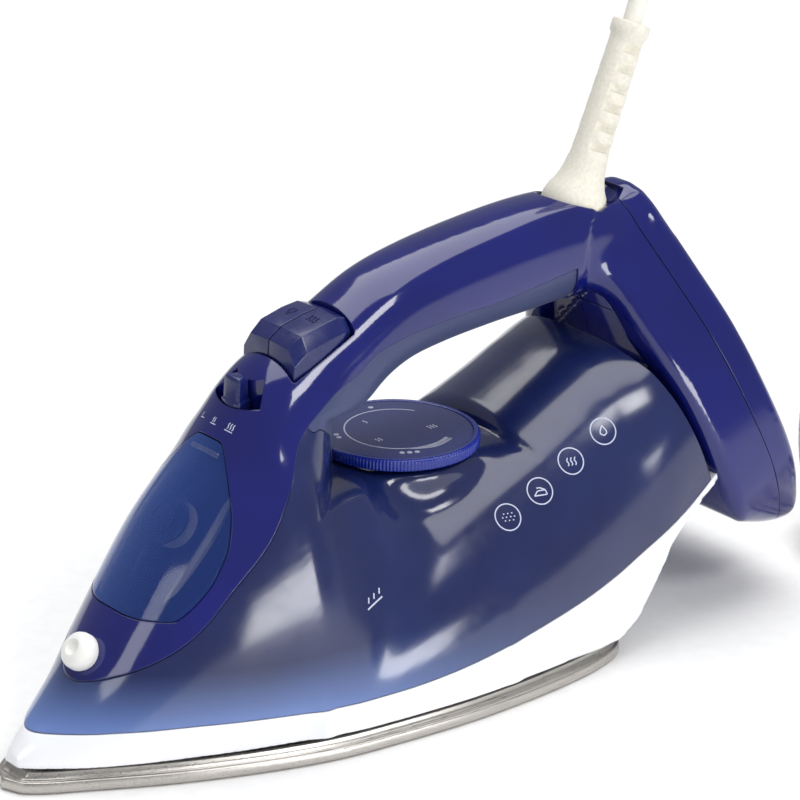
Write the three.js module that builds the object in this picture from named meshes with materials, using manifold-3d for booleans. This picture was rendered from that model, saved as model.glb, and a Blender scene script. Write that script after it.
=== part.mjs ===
// A steam iron: a sole plate with a turned-up rim, a white skirt, a tinted water tank, and a nose, handle
// and heel
// shell with its rear cover. The fittings inside it, the swivelling cord guard and the mains lead are here
// too.
// Millimetres. +X points to the nose, +Y to the iron's left and +Z up. The origin is on the ironing face,
// midway
// along the sole plate.
import * as THREE from "three";
import { mergeVertices } from "three/addons/utils/BufferGeometryUtils.js";
import Module from "manifold-3d";

const wasm = await Module();
wasm.setup();

// ---------------------------------------------------------------- driving dimensions
const SOLE_LENGTH = 232;
const SOLE_WIDTH = 114;
const HANDLE_TOP = 153; // height of the handle's top over the table

const GAP = 0.35; // between two pieces that touch
const RUN = 0.6; // around a piece that moves

const PLATE = 1.6; // thickness of the pressed sole plate and of its rim
const RIM_HEIGHT = 6.6;
const STEAM_HOLE_R = 1.6;
const CASTING_INSET = 11.6; // from the plate's edge to the heated casting
const CASTING_TOP = 10.5;
const CHAMBER_INSET = 17; // from the plate's edge to the steam chamber
const CHAMBER_DEPTH = 4.5;
const CHAMBER_LID = 1.2;
const ELEMENT_R = 3.2;
const SHIELD_BOTTOM = 13.2; // of the heat shield over the casting
const SHIELD_PLATE = 1.2;

const SKIRT_BOTTOM = 7.4;
const SKIRT_WALL = 2.2;
const TANK_WALL = 2.2;
const TANK_SHELF = 84; // the tank's top inside the nose, which carries the pumps
const NOSE_SPACE = 9; // from the nose's outer skin to the tank inside it
const SHELL_WALL = 2.4;

const DIAL_R = 28.2;
const DIAL_RIM = 4.2;
const DIAL_TOP = 82.5;
const DIAL_CAP_R = 25.6;
const DIAL_CAP = 1.4;
const DIAL_X = -43.5;
const COLLAR_R = 24;
const COLUMN_R = 7.5; // the tube in the tank that the thermostat's shaft goes through
const SHAFT_R = 3;
const THERMOSTAT_R = 11;
const THERMOSTAT_HEIGHT = 5.5;

const VALVE_X = 9; // the steam valve's upright rod and the lever that turns it
const ROD_R = 2;
const SEAT_R = 5;
const HUB_R = 4.4;
const LEVER_R = 14.5; // from the rod to the middle of the lever's tab
const LEVER_TAB = 8; // width of the tab
const LEVER_SWING = 22; // degrees to each side
const LEVER_PLATE = 2.4;
const LEVER_PROUD = 8; // the tab's height over the nose

const PUMP_X = -2.5;
const PUMP_Y = 6.7; // from the middle to each pump
const PUMP_R = 5.2;
const PUMP_HEIGHT = 22;
const PUMP_WALL = 1.4;
const PLUNGER_R = 2.4;
const SPRING_WIRE = 0.6;
const SPRING_TURNS = 4;
const BUTTON_TRAVEL = 3.5;
const BUTTON_FRONT = 11;
const BUTTON_REAR = -13;
const BUTTON_SIDE = 13.6; // from the middle to the button's outer side
const BUTTON_SKIRT = 8; // depth of a button below the handle's skin

const NOZZLE_R = 6.2;
const NOZZLE_X = 83.5;
const HOSE_R = 1.7;
const FLAP_HALF = 25; // half the fill flap's width
const FLAP_BORDER = 7; // of shell under the flap's lower corners
const FLAP_WALL = 2;
const FLAP_PIN_R = 1.2;
const BARREL_WALL = 1.4;
const PLUG_X = 54;
const PLUG_R = 8;
const PLUG_LENGTH = 8.5;
const MOUTH_WALL = 1.8;
const SEAL_WALL = 1.4;
const BARREL_HALF = 9; // half the length of the flap's hinge barrel
const LUG = 3; // thickness of the lugs beside it

const HEEL_LEAN = 22.5; // degrees from upright
const HEEL_HALF = 51.5; // half the greatest width
const HEEL_DEPTH = 33; // square to the rear cover
const HEEL_BACK = 82; // how far its foot stands behind the sole plate
const HEEL_FOOT_Z = 22;
const HEEL_DROP = 0.74; // its crown below the handle's top
const HEEL_UNDER_RISE = 19; // degrees that its underside rises towards the sole
const HEEL_ROUND = 5; // radius along the heel's edges
const COVER_DEPTH = 12; // the rear cover's share of the heel's depth
const SPIGOT = 8; // how far the tank and skirt reach into the heel

const BALL_R = 11.5; // the cord guard's ball
const BALL_BACK = 4; // how far the ball stands behind the sole plate
const BALL_SINK = 6; // its centre below the handle's skin
const GUARD_LENGTH = 54;
const GUARD_R = 6;
const GUARD_NECK_R = 9.6; // where it leaves the ball
const GUARD_LEAN = 22; // degrees from upright, towards the heel
const GUARD_BACK = 12; // degrees that it swings back from there
const GUARD_FRONT = 35; // and forwards
const GUARD_RIBS = 6;

const CORD_R = 3.3;
const WIRE_R = 1.3; // of the two wires in the heel
const CLAMP = 4; // height of the clamp under the guard's ball
const COIL_R = 37; // to the middle of the coil's turns
const COIL_X = -253;
const COIL_Y = 60;

const SCREW_R = 1.6;
const SCREW_HEAD_R = 3;
const SCREW_HEAD = 2;

const BIG = 400; // reach of a tool that cuts right through

// ---------------------------------------------------------------- places as shares of the overall sizes
const along = (share) => (share * SOLE_LENGTH) / 2;
const across = (share) => (share * SOLE_WIDTH) / 2;
const up = (share) => share * HANDLE_TOP;
const radians = (degrees) => (degrees * Math.PI) / 180;

// Half the sole plate's outline: place along it, half width.
const SOLE_OUTLINE = [
  [-1, 0], [-0.985, 0.5], [-0.93, 0.77], [-0.85, 0.9], [-0.65, 0.98], [-0.32, 1],
  [-0.04, 0.95], [0.22, 0.86], [0.55, 0.61], [0.84, 0.3], [0.97, 0.13], [1, 0],
];
// Sections of the nose: place along, half width, crest height, roundness.
const NOSE = [
  [-0.09, 0.66, 0.64, 1.3], [0, 0.895, 0.7, 1.35], [0.086, 0.868, 0.73, 1.55], [0.15, 0.835, 0.742, 1.75],
  [0.21, 0.808, 0.71, 1.9], [0.31, 0.745, 0.633, 2], [0.44, 0.655, 0.53, 2.1], [0.55, 0.565, 0.425, 2.1],
  [0.655, 0.475, 0.313, 2.1], [0.735, 0.395, 0.23, 2], [0.8, 0.325, 0.178, 2], [0.865, 0.235, 0.14, 2],
  [0.92, 0.15, 0.112, 2], [0.966, 0.07, 0.075, 2],
];
// Sections of the tank behind the nose: place along, half width, crest height, roundness, rise of the lower
// edge.
const STERN = [
  [-1.38, 0.8, 0.69, 2.7, 0.33], [-1.28, 0.825, 0.686, 2.7, 0.285], [-1.11, 0.87, 0.667, 2.7, 0.195],
  [-0.965, 0.895, 0.637, 2.6, 0.045], [-0.853, 0.921, 0.601, 2.5, 0], [-0.647, 0.947, 0.536, 2.4, 0],
  [-0.319, 0.956, 0.451, 2.3, 0], [-0.043, 0.904, 0.379, 2.2, 0], [0.172, 0.825, 0.33, 2, 0],
];
// The handle's sections, from the nose to the heel: top point, underside point, half width.
const BAR = [
  [0.33, 0.58, -0.05, 0.38, 0.45], [0.24, 0.69, -0.1, 0.46, 0.42], [0.15, 0.763, -0.125, 0.53, 0.37],
  [0.04, 0.81, -0.165, 0.6, 0.325], [-0.1, 0.86, -0.225, 0.667, 0.307], [-0.26, 0.92, -0.33, 0.71, 0.298],
  [-0.43, 0.953, -0.465, 0.73, 0.298], [-0.65, 0.977, -0.655, 0.742, 0.298], [-0.86, 0.99, -0.845, 0.748,
    0.29],
  [-1.08, 0.985, -1.02, 0.76, 0.28], [-1.24, 0.965, -1.16, 0.785, 0.265],
];
// Side view of the line under the nose and the handle's shell, from the tip to the heel.
const SHELL_LINE = [
  [1.1, 0.19], [0.83, 0.19], [0.69, 0.23], [0.535, 0.295], [0.405, 0.39], [0.293, 0.47], [0.207, 0.56],
  [0.12, 0.66], [0, 0.72], [-0.1, 0.752], [-0.17, 0.784], [-0.285, 0.804], [-0.465, 0.817], [-0.645, 0.824],
  [-0.93, 0.85],
];
// Side view of the line between the skirt and the tank.
const SKIRT_LINE = [
  [1.1, 0.112], [0.9, 0.118], [0.6, 0.122], [0.1, 0.112], [-0.22, 0.124], [-0.58, 0.163], [-0.85, 0.21],
  [-1.11, 0.288], [-1.28, 0.36], [-1.5, 0.47],
];
// The heel's outline from its foot to its crown: height along it, half width.
const HEEL_OUTLINE = [
  [0, 0.45], [0.03, 0.78], [0.16, 0.965], [0.3, 1], [0.5, 0.885], [0.65, 0.74], [0.79, 0.53], [0.92, 0.32],
  [0.98, 0.2], [1, 0.1],
];

// A smooth value through [place, value] pairs in rising order of place.
function through(pairs, column = 1) {
  const last = pairs.length - 1;
  const slope = (i) => {
    const before = pairs[Math.max(i - 1, 0)];
    const after = pairs[Math.min(i + 1, last)];
    return (after[column] - before[column]) / (after[0] - before[0]);
  };
  return (place) => {
    const at = Math.min(Math.max(place, pairs[0][0]), pairs[last][0]);
    const i = Math.min(Math.max(pairs.findIndex((pair) => pair[0] > at) - 1, 0), last - 1);
    const k = at >= pairs[last][0] ? last - 1 : i;
    const span = pairs[k + 1][0] - pairs[k][0];
    const t = (at - pairs[k][0]) / span;
    const a = pairs[k][column];
    const b = pairs[k + 1][column];
    const rise = (t * t * (3 - 2 * t)) * (b - a);
    const ease = t * (1 - t) * (1 - t) * slope(k) * span - t * t * (1 - t) * slope(k + 1) * span;
    return a + rise + ease;
  };
}

const soleShare = through(SOLE_OUTLINE);
const soleHalf = (x) => across(Math.max(soleShare((2 * x) / SOLE_LENGTH), 0));
const noseCrest = (x) => up(through(NOSE, 2)((2 * x) / SOLE_LENGTH));
const barTop = (x) => up(through([...BAR].reverse(), 1)((2 * x) / SOLE_LENGTH));
const HEEL_FOOT_X = -SOLE_LENGTH / 2 - HEEL_BACK;
// Along the rear cover.
const HEEL_HEIGHT = (HANDLE_TOP - HEEL_DROP - HEEL_FOOT_Z) / Math.cos(radians(HEEL_LEAN));

// ---------------------------------------------------------------- solids
// A closed three.js geometry as a solid, placed by a matrix if one is given.
function solid(geometry, matrix = new THREE.Matrix4()) {
  const bare = new THREE.BufferGeometry();
  bare.setAttribute("position", geometry.getAttribute("position").clone());
  bare.setIndex(geometry.index);
  const merged = mergeVertices(bare.applyMatrix4(matrix), 1e-4);
  const corners = [];
  for (let i = 0; i < merged.index.count; i += 3) {
    const [a, b, c] = [0, 1, 2].map((k) => merged.index.getX(i + k));
    if (a !== b && b !== c && c !== a) corners.push(a, b, c);
  }
  const mesh = { numProp: 3, vertProperties: merged.attributes.position.array,
    triVerts: new Uint32Array(corners) };
  return new wasm.Manifold(new wasm.Mesh(mesh));
}

// A closed body through rings that have equally many points, with a cap on each end.
function loft(rings) {
  const count = rings[0].length;
  const points = rings.flat();
  const index = [];
  for (let i = 0; i + count < points.length; i += count)
    for (let j = 0; j < count; j++) {
      const next = (j + 1) % count;
      index.push(i + j, i + next, i + count + next, i + j, i + count + next, i + count + j);
    }
  for (const [start, turn] of [[0, 1], [points.length - count, 0]]) {
    const middle = new THREE.Vector3();
    for (let j = 0; j < count; j++) middle.addScaledVector(points[start + j], 1 / count);
    points.push(middle);
    for (let j = 0; j < count; j++) {
      const edge = [start + j, start + ((j + 1) % count)];
      index.push(edge[turn], edge[1 - turn], points.length - 1);
    }
  }
  const geometry = new THREE.BufferGeometry().setFromPoints(points);
  let volume = 0;
  for (let i = 0; i < index.length; i += 3)
    volume += points[index[i]].dot(points[index[i + 1]].clone().cross(points[index[i + 2]]));
  geometry.setIndex(volume > 0 ? index : index.reverse());
  return solid(geometry);
}

function box(x0, x1, y0, y1, z0, z1) {
  const middle = new THREE.Matrix4().makeTranslation((x0 + x1) / 2, (y0 + y1) / 2, (z0 + z1) / 2);
  return solid(new THREE.BoxGeometry(x1 - x0, y1 - y0, z1 - z0), middle);
}

// A matrix that stands local +Z along a direction, with its origin at a point.
function standing(point, direction) {
  const turn = new THREE.Quaternion().setFromUnitVectors(new THREE.Vector3(0, 0, 1),
    direction.clone().normalize());
  return new THREE.Matrix4().compose(point, turn, new THREE.Vector3(1, 1, 1));
}

const UP = new THREE.Vector3(0, 0, 1);
const LEFT = new THREE.Vector3(0, 1, 0);
const vec = (x, y, z) => new THREE.Vector3(x, y, z);

// A solid turned from [radius, height] points, standing at a point along a direction.
function turned(profile, point, direction = UP, sides = 24) {
  const points = profile.map(([radius, height]) => new THREE.Vector2(radius, height));
  const geometry = new THREE.LatheGeometry(points, sides).rotateX(Math.PI / 2);
  return solid(geometry, standing(point, direction));
}

function cylinder(radius, height, point, direction = UP, sides = 24) {
  return turned([[0, 0], [radius, 0], [radius, height], [0, height]], point, direction, sides);
}

function ring(outer, inner, height, point, direction = UP, sides = 24) {
  const profile = [[inner, 0], [outer, 0], [outer, height], [inner, height], [inner, 0]];
  return turned(profile, point, direction, sides);
}

// A plan outline, raised from one height to another.
function upright(outline, z0, z1) {
  const shape = new THREE.Shape(outline.map(([x, y]) => new THREE.Vector2(x, y)));
  const geometry = new THREE.ExtrudeGeometry(shape, { depth: z1 - z0, bevelEnabled: false });
  return solid(geometry, new THREE.Matrix4().makeTranslation(0, 0, z0));
}

// A side-view outline, carried across the iron from y0 to y1.
function sideways(outline, y0 = -BIG, y1 = BIG) {
  const shape = new THREE.Shape(outline.map(([x, z]) => new THREE.Vector2(x, z)));
  const geometry = new THREE.ExtrudeGeometry(shape, { depth: y1 - y0, bevelEnabled: false });
  return solid(geometry.rotateX(Math.PI / 2), new THREE.Matrix4().makeTranslation(0, y1, 0));
}

// A round tube through points.
function tube(points, radius, sides = 10, steps = points.length * 4) {
  const circle = new THREE.Shape().absarc(0, 0, radius, 0, 2 * Math.PI);
  const path = new THREE.CatmullRomCurve3(points, false, "centripetal");
  const options = { steps, extrudePath: path, curveSegments: sides / 2, bevelEnabled: false };
  return solid(new THREE.ExtrudeGeometry(circle, options));
}

// The points of a smooth side-view line given in shares of the overall sizes.
function sideLine(shares, lift = 0, steps = 18) {
  const points = shares.map(([x, z]) => new THREE.Vector2(along(x), up(z)));
  return new THREE.SplineCurve(points).getPoints(steps).map((p) => [p.x, p.y + lift]);
}

const above = (line) => sideways([...line, [line.at(-1)[0], BIG], [line[0][0], BIG]]);

// ---------------------------------------------------------------- the iron's outer forms
// One arched section across the iron: half width, lower edge, crest, roundness.
function arch(x, half, base, crest, roundness) {
  const steps = 14;
  const points = [];
  for (let i = 0; i <= steps; i++) {
    const angle = (Math.PI * i) / steps;
    const side = Math.sign(Math.cos(angle)) * Math.abs(Math.cos(angle)) ** (2 / roundness);
    const rise = Math.abs(Math.sin(angle)) ** (2 / roundness);
    points.push(vec(x, half * side, base + (crest - base) * rise));
  }
  return points;
}

// The nose and the tank's tower, drawn in by an inset that is negative for a clearance round it.
function nose(inset = 0) {
  const open = inset > 0 ? BIG / 10 : 0;
  return loft(NOSE.map(([x, half, crest, roundness], i) => {
    const end = i === 0 ? Math.min(inset, 0) : i === NOSE.length - 1 ? -inset : 0;
    const slope = 1 + 0.6 * Math.min(Math.max(x / 0.3, 0), 1);
    const width = Math.max(across(half) - inset, 0.6);
    const top = Math.max(up(crest) - inset * slope, SKIRT_BOTTOM + 1);
    return arch(along(x) + end, width, SKIRT_BOTTOM - open + Math.min(inset, 0), top, roundness);
  }));
}

// The tank and skirt behind the nose.
function stern(inset = 0) {
  const open = inset > 0 ? BIG / 10 : 0;
  return loft(STERN.map(([x, half, crest, roundness, rise]) => {
    const base = SKIRT_BOTTOM + up(rise) - open + Math.min(inset, 0);
    return arch(along(x), across(half) - inset, base, up(crest) - inset, roundness);
  }));
}

// The handle and its pylon, a bar of round-cornered sections.
function bar(inset = 0) {
  const steps = 16;
  return loft(BAR.map(([topX, topZ, lowX, lowZ, half]) => {
    const top = vec(along(topX), 0, up(topZ));
    const low = vec(along(lowX), 0, up(lowZ));
    const middle = top.clone().add(low).divideScalar(2);
    const reach = top.clone().sub(middle);
    reach.setLength(reach.length() - inset);
    const points = [];
    for (let i = 0; i < steps; i++) {
      const angle = (2 * Math.PI * i) / steps;
      const square = (value) => Math.sign(value) * Math.abs(value) ** 0.8;
      const side = LEFT.clone().multiplyScalar((across(half) - inset) * square(Math.cos(angle)));
      points.push(middle.clone().addScaledVector(reach, square(Math.sin(angle))).add(side));
    }
    return points;
  }));
}

// The heel leans back; a point of it is given by side, height along it and depth in from the rear face.
const heelUp = vec(Math.sin(radians(HEEL_LEAN)), 0, Math.cos(radians(HEEL_LEAN)));
const heelIn = LEFT.clone().cross(heelUp);
const heelFoot = vec(HEEL_FOOT_X, 0, HEEL_FOOT_Z);

function heelPoint(side, height, depth) {
  const point = heelFoot.clone().addScaledVector(LEFT, side);
  return point.addScaledVector(heelUp, height).addScaledVector(heelIn, depth);
}

// The heel's underside, which rises towards the sole.
const heelUnder = (x) => HEEL_FOOT_Z + 2 + (x - HEEL_FOOT_X - 12) * Math.tan(radians(HEEL_UNDER_RISE));

// The heel between two depths, its outline drawn in by an inset.
function heel(inset, from, to, round = HEEL_ROUND) {
  const half = HEEL_OUTLINE.map(([height, width]) => vec(width * HEEL_HALF, height * HEEL_HEIGHT, 0));
  const curve = new THREE.CatmullRomCurve3(half, false, "centripetal").getPoints(13);
  const outline = [...curve, ...curve.map((p) => vec(-p.x, p.y, 0)).reverse()];
  const shape = new THREE.Shape(outline.map((p) => new THREE.Vector2(p.x, p.y)));
  const options = { depth: to - from - 2 * round, bevelEnabled: true, bevelThickness: round,
    bevelSize: round };
  options.bevelSegments = 2;
  options.bevelOffset = -round - inset;
  const place = new THREE.Matrix4().makeBasis(LEFT, heelUp,
    heelIn).setPosition(heelPoint(0, 0, from + round));
  const under = sideways([[-BIG, -BIG], [BIG, -BIG], [BIG, heelUnder(BIG)], [-BIG, heelUnder(-BIG)]]);
  return solid(new THREE.ExtrudeGeometry(shape, options), place).subtract(under.translate([0, 0, inset]));
}

// The half space behind a depth of the heel.
function behind(depth) {
  const place = new THREE.Matrix4().makeBasis(LEFT, heelUp,
    heelIn).setPosition(heelPoint(0, 0, depth - BIG / 2));
  return solid(new THREE.BoxGeometry(2 * BIG, 2 * BIG, BIG), place);
}

// The opening between the heel's two legs, wider at the back than at the front.
function heelOpening(inset = 0) {
  const end = (depth, foot, low, high, crown) => {
    const corners = [[low, foot], [high, crown], [-high, crown], [-low, foot]];
    return corners.map(([side, height]) => {
      const draw = [side - Math.sign(side) * inset, height + (height > (foot + crown) / 2 ? -inset : inset)];
      return heelPoint(draw[0], draw[1], depth);
    });
  };
  const front = end(HEEL_DEPTH + 14, 0.64 * HEEL_HEIGHT, 0.35 * HEEL_HALF, 0.175 * HEEL_HALF,
    0.82 * HEEL_HEIGHT);
  const back = end(-10, 0.58 * HEEL_HEIGHT, 0.74 * HEEL_HALF, 0.29 * HEEL_HALF, 0.83 * HEEL_HEIGHT);
  return loft([front, back]);
}

const shellLine = sideLine(SHELL_LINE);
const skirtLine = sideLine(SKIRT_LINE);

// What lies under the nose and the handle's shell, in front of the heel.
function underShell(drop = 0) {
  const line = shellLine.map(([x, z]) => [x, z - drop]);
  const rear = line.at(-1)[0] + drop;
  return sideways([...line.slice(0, -1), [rear, line.at(-1)[1]], [rear - 4, up(0.71)], [-BIG, up(0.71)],
    [-BIG, -BIG / 4], [BIG, -BIG / 4], [BIG, line[0][1]]].reverse());
}

// ---------------------------------------------------------------- colours and the group
const NAVY = 0x1a2566;
const iron = new THREE.Group();

function add(name, body, color, roughness = 0.4, metalness = 0) {
  const made = body.getMesh();
  const geometry = new THREE.BufferGeometry();
  geometry.setAttribute("position", new THREE.BufferAttribute(made.vertProperties, made.numProp));
  geometry.setIndex(new THREE.BufferAttribute(made.triVerts, 1));
  geometry.computeVertexNormals();
  const mesh = new THREE.Mesh(geometry, new THREE.MeshStandardMaterial({ color, roughness, metalness }));
  mesh.name = name;
  iron.add(mesh);
}

const joined = (solids) => solids.reduce((all, next) => all.add(next));

// ---------------------------------------------------------------- the sole
// The sole's outline, drawn in by an inset, as plan points.
function soleOutline(inset, steps = 15) {
  const reach = (end) => {
    let x = (end * SOLE_LENGTH) / 2;
    while (inset > 0 && soleHalf(x) < inset + 1) x -= end * 0.5;
    return x;
  };
  const [heelEnd, noseEnd] = [reach(-1) + (inset > 0 ? inset / 2 : 0), reach(1)];
  const left = [];
  for (let i = 0; i <= steps; i++) {
    const x = (heelEnd + noseEnd) / 2 - ((noseEnd - heelEnd) / 2) * Math.cos((Math.PI * i) / steps);
    left.push([x, Math.max(soleHalf(x) - inset, i % steps === 0 ? 0.8 : 0.4)]);
  }
  return [...left.map(([x, y]) => [x, -y]), ...left.reverse()];
}

const plateTop = PLATE + GAP;
const castingTop = CASTING_TOP;
const lidTop = castingTop + GAP + CHAMBER_LID;
const valveAxis = vec(VALVE_X, 0, 0);

function steamHoles() {
  const holes = [];
  for (const [share, sides] of [[0.78, [0]], [0.6, [-0.2, 0.2]], [0.4, [-0.36, 0, 0.36]],
    [0.2, [-0.48, 0.48]]])
    for (const side of sides)
      holes.push(cylinder(STEAM_HOLE_R, BIG, vec(along(share), across(side), -BIG / 2), UP, 8));
  return joined(holes);
}

function elementPath() {
  const side = across(0.6);
  const points = [[-0.8, 1, 20], [-0.8, 1, 8], [-0.74, 1, 7.2], [-0.4, 1.02, 7.2], [0, 0.98, 7.2],
    [0.35, 0.72, 7.2]];
  const left = points.map(([x, y, z]) => vec(along(x), side * y, z));
  const right = left.map((p) => vec(p.x, -p.y, p.z)).reverse();
  return [...left, vec(along(0.6), side * 0.36, 7.2), vec(along(0.66), 0, 7.2),
    vec(along(0.6), -side * 0.36, 7.2),
    ...right];
}

const soleScrewBores = () => joined([-1, 1].map((side) =>
  cylinder(SCREW_R + GAP, BIG, vec(along(-0.78), side * across(0.38), plateTop + 2 - GAP), UP, 12)));

function soleParts() {
  const floor = upright(soleOutline(0), 0, PLATE);
  const wall = upright(soleOutline(0), 0, RIM_HEIGHT).subtract(upright(soleOutline(PLATE), PLATE, BIG));
  add("sole_plate", floor.add(wall).subtract(steamHoles()), 0xb9b6b2, 0.35, 0.7);

  const grown = tube(elementPath(), ELEMENT_R + RUN, 6, 26);
  const chamberRear = box(-BIG, along(-0.66), -BIG, BIG, 0, BIG);
  const chamber = upright(soleOutline(CHAMBER_INSET), castingTop - CHAMBER_DEPTH, BIG).subtract(chamberRear);
  const casting = upright(soleOutline(CASTING_INSET), plateTop, castingTop)
    .subtract(chamber)
    .subtract(grown)
    .subtract(soleScrewBores())
    .subtract(steamHoles());
  add("sole_casting", casting, 0xa9abad, 0.5, 0.8);
  add("heating_element", tube(elementPath(), ELEMENT_R, 6, 26), 0x6f6f72, 0.4, 0.8);

  const lid = upright(soleOutline(CHAMBER_INSET - 2), castingTop + GAP, lidTop)
    .subtract(box(-BIG, along(-0.7), -BIG, BIG, 0, BIG))
    .subtract(cylinder(SEAT_R + GAP, BIG, valveAxis))
    .subtract(cylinder(THERMOSTAT_R + GAP, BIG, vec(DIAL_X, 0, 0)));
  add("steam_chamber_lid", lid, 0xc4c4c4, 0.45, 0.8);

  const shield = upright(soleOutline(CASTING_INSET + 3), SHIELD_BOTTOM, SHIELD_BOTTOM + SHIELD_PLATE)
    .subtract(cylinder(SEAT_R + GAP, BIG, valveAxis))
    .subtract(cylinder(THERMOSTAT_R + 1, BIG, vec(DIAL_X, 0, 0)))
    .subtract(box(-BIG, along(-0.72), -BIG, BIG, 0, BIG));
  add("heat_shield", shield, 0xd8d6cf, 0.6, 0.2);
}

// ---------------------------------------------------------------- thermostat and dial
const dialAxis = vec(DIAL_X, 0, 0);
const dialUnder = DIAL_TOP - DIAL_RIM;
const thermostatBottom = castingTop + GAP;
const shaftBottom = thermostatBottom + THERMOSTAT_HEIGHT + GAP;

function dialParts() {
  add("thermostat", cylinder(THERMOSTAT_R, THERMOSTAT_HEIGHT, dialAxis.clone().setZ(thermostatBottom)),
    0x8d8f93, 0.5, 0.6);
  const shaftTop = dialUnder + 1.6;
  const shaft = cylinder(SHAFT_R, shaftTop - shaftBottom, dialAxis.clone().setZ(shaftBottom), UP, 16);
  add("thermostat_shaft", shaft, 0xb8babd, 0.35, 0.9);
  const notches = 28;
  const rim = [];
  for (let i = 0; i < 2 * notches; i++) {
    const angle = (Math.PI * i) / notches;
    const radius = DIAL_R - (i % 2) * 0.7;
    rim.push([DIAL_X + radius * Math.cos(angle), radius * Math.sin(angle)]);
  }
  const capSeat = DIAL_TOP - DIAL_CAP;
  const knob = upright(rim, dialUnder, DIAL_TOP)
    .subtract(cylinder(DIAL_CAP_R + GAP, BIG, dialAxis.clone().setZ(capSeat - GAP), UP, 36))
    .subtract(cylinder(SHAFT_R + GAP, shaftTop + GAP - dialUnder + 1, dialAxis.clone().setZ(dialUnder - 1),
      UP, 16));
  add("dial_knob", knob, 0x24449c, 0.35);
  const cap = cylinder(DIAL_CAP_R, DIAL_CAP, dialAxis.clone().setZ(capSeat), UP, 36);
  add("dial_face", cap, 0x2c3a72, 0.45);
}

// ---------------------------------------------------------------- skirt and tank
const spigotRear = () => behind(HEEL_DEPTH - SPIGOT);

function skirtPart() {
  const form = nose().add(stern());
  const hollow = nose(SKIRT_WALL).add(stern(SKIRT_WALL));
  const upper = above(skirtLine.map(([x, z]) => [x, z - GAP]));
  const skirt = form.subtract(hollow).subtract(upper).subtract(spigotRear());
  add("skirt", skirt, 0xf4f4f2, 0.25);
}

const valveSeatTop = () => up(0.112) + TANK_WALL + 2;
const leverPlane = () => barTop(VALVE_X) - 27;
const pumpFoot = TANK_SHELF + GAP;
const noseSlope = vec(noseCrest(40) - noseCrest(70), 0, 30).normalize();
const plugCentre = () => vec(PLUG_X, 0, noseCrest(PLUG_X));

function tankPart() {
  const low = above(skirtLine);
  const shown = nose().add(stern()).intersect(low).intersect(underShell(GAP)).subtract(spigotRear());
  const wellHalf = PUMP_Y + PUMP_R + 1.5;
  const well = box(-BIG, 34, -wellHalf, wellHalf, TANK_SHELF, BIG);
  const hidden = nose(NOSE_SPACE).intersect(low).intersect(box(0.5, BIG, -BIG, BIG, 0, TANK_SHELF));
  const collar = cylinder(COLLAR_R, dialUnder - RUN - 60, dialAxis.clone().setZ(60), UP, 32);
  const neckFoot = plugCentre().addScaledVector(noseSlope, -NOSE_SPACE - 8);
  const neck = cylinder(PLUG_R + RUN + MOUTH_WALL, 8 + 3, neckFoot, noseSlope,
    24).intersect(nose(FLAP_WALL + RUN));
  const outer = shown.subtract(well).add(hidden).add(collar).add(neck);

  const floor = above(skirtLine.map(([x, z]) => [x, z + TANK_WALL]));
  const wide = nose(TANK_WALL).intersect(underShell(3 * TANK_WALL)).add(stern(TANK_WALL));
  const deep = nose(NOSE_SPACE + TANK_WALL);
  const roof = box(-BIG, BIG, -BIG, BIG, 0, TANK_SHELF - TANK_WALL);
  const column = cylinder(COLUMN_R, BIG, dialAxis, UP, 20).add(cylinder(SEAT_R + 2.5, 28, valveAxis, UP, 20));
  const hollow = wide.subtract(well.add(behind(HEEL_DEPTH - SPIGOT + TANK_WALL))).add(deep)
    .intersect(floor).intersect(roof).subtract(column);
  const recess = cylinder(DIAL_R + 1.4, BIG, dialAxis.clone().setZ(dialUnder - RUN), UP, 32);
  const tank = outer
    .subtract(hollow)
    .subtract(recess)
    .subtract(cylinder(SHAFT_R + RUN, BIG, dialAxis, UP, 16))
    .subtract(cylinder(THERMOSTAT_R + 1, SHIELD_BOTTOM + 12, dialAxis).intersect(underFloor()))
    .subtract(cylinder(SEAT_R + GAP, valveSeatTop() + GAP, valveAxis, UP, 20))
    .subtract(cylinder(ROD_R + RUN, BIG, valveAxis, UP, 16))
    .subtract(sector(0.5, LEVER_R + 3 + RUN, fanHalf() + LEVER_SWING + 3, leverPlane() - RUN, BIG))
    .subtract(cylinder(PLUG_R + RUN, BIG, neckFoot.clone().addScaledVector(noseSlope, -6), noseSlope, 24))
    .subtract(dipBores())
    .subtract(tube(hosePath(), HOSE_R + RUN, 6, 18))
    .subtract(cylinder(NOZZLE_R + GAP, BIG, nozzleFoot().addScaledVector(noseSlope, -GAP), noseSlope));
  add("water_tank", tank, 0x34427f, 0.1);
}

const underFloor = () => sideways([...skirtLine.map(([x, z]) => [x, z + 0.1]), [-BIG, -BIG],
  [BIG, -BIG]].reverse());

const dipBores = () => joined([-1, 1].map((side) =>
  cylinder(1.2, BIG, vec(PUMP_X + 3, side * (PUMP_Y - 0.5), TANK_SHELF - 2 * TANK_WALL), UP, 10)));

function valveParts() {
  const top = valveSeatTop();
  const seat = ring(SEAT_R, ROD_R + GAP, top - castingTop + 2, valveAxis.clone().setZ(castingTop - 2), UP,
    20);
  const bottom = cylinder(SEAT_R, 1.5, valveAxis.clone().setZ(castingTop - 2), UP, 20)
    .subtract(cylinder(0.9, BIG, valveAxis, UP, 8));
  add("steam_valve_seat", seat.add(bottom), 0xb9a16a, 0.35, 0.9);
  const plane = leverPlane();
  const rod = cylinder(ROD_R, plane - top + 4, valveAxis.clone().setZ(top - 4), UP, 12);
  add("steam_valve_rod", rod, 0xc2c4c6, 0.3, 0.9);
}

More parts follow.
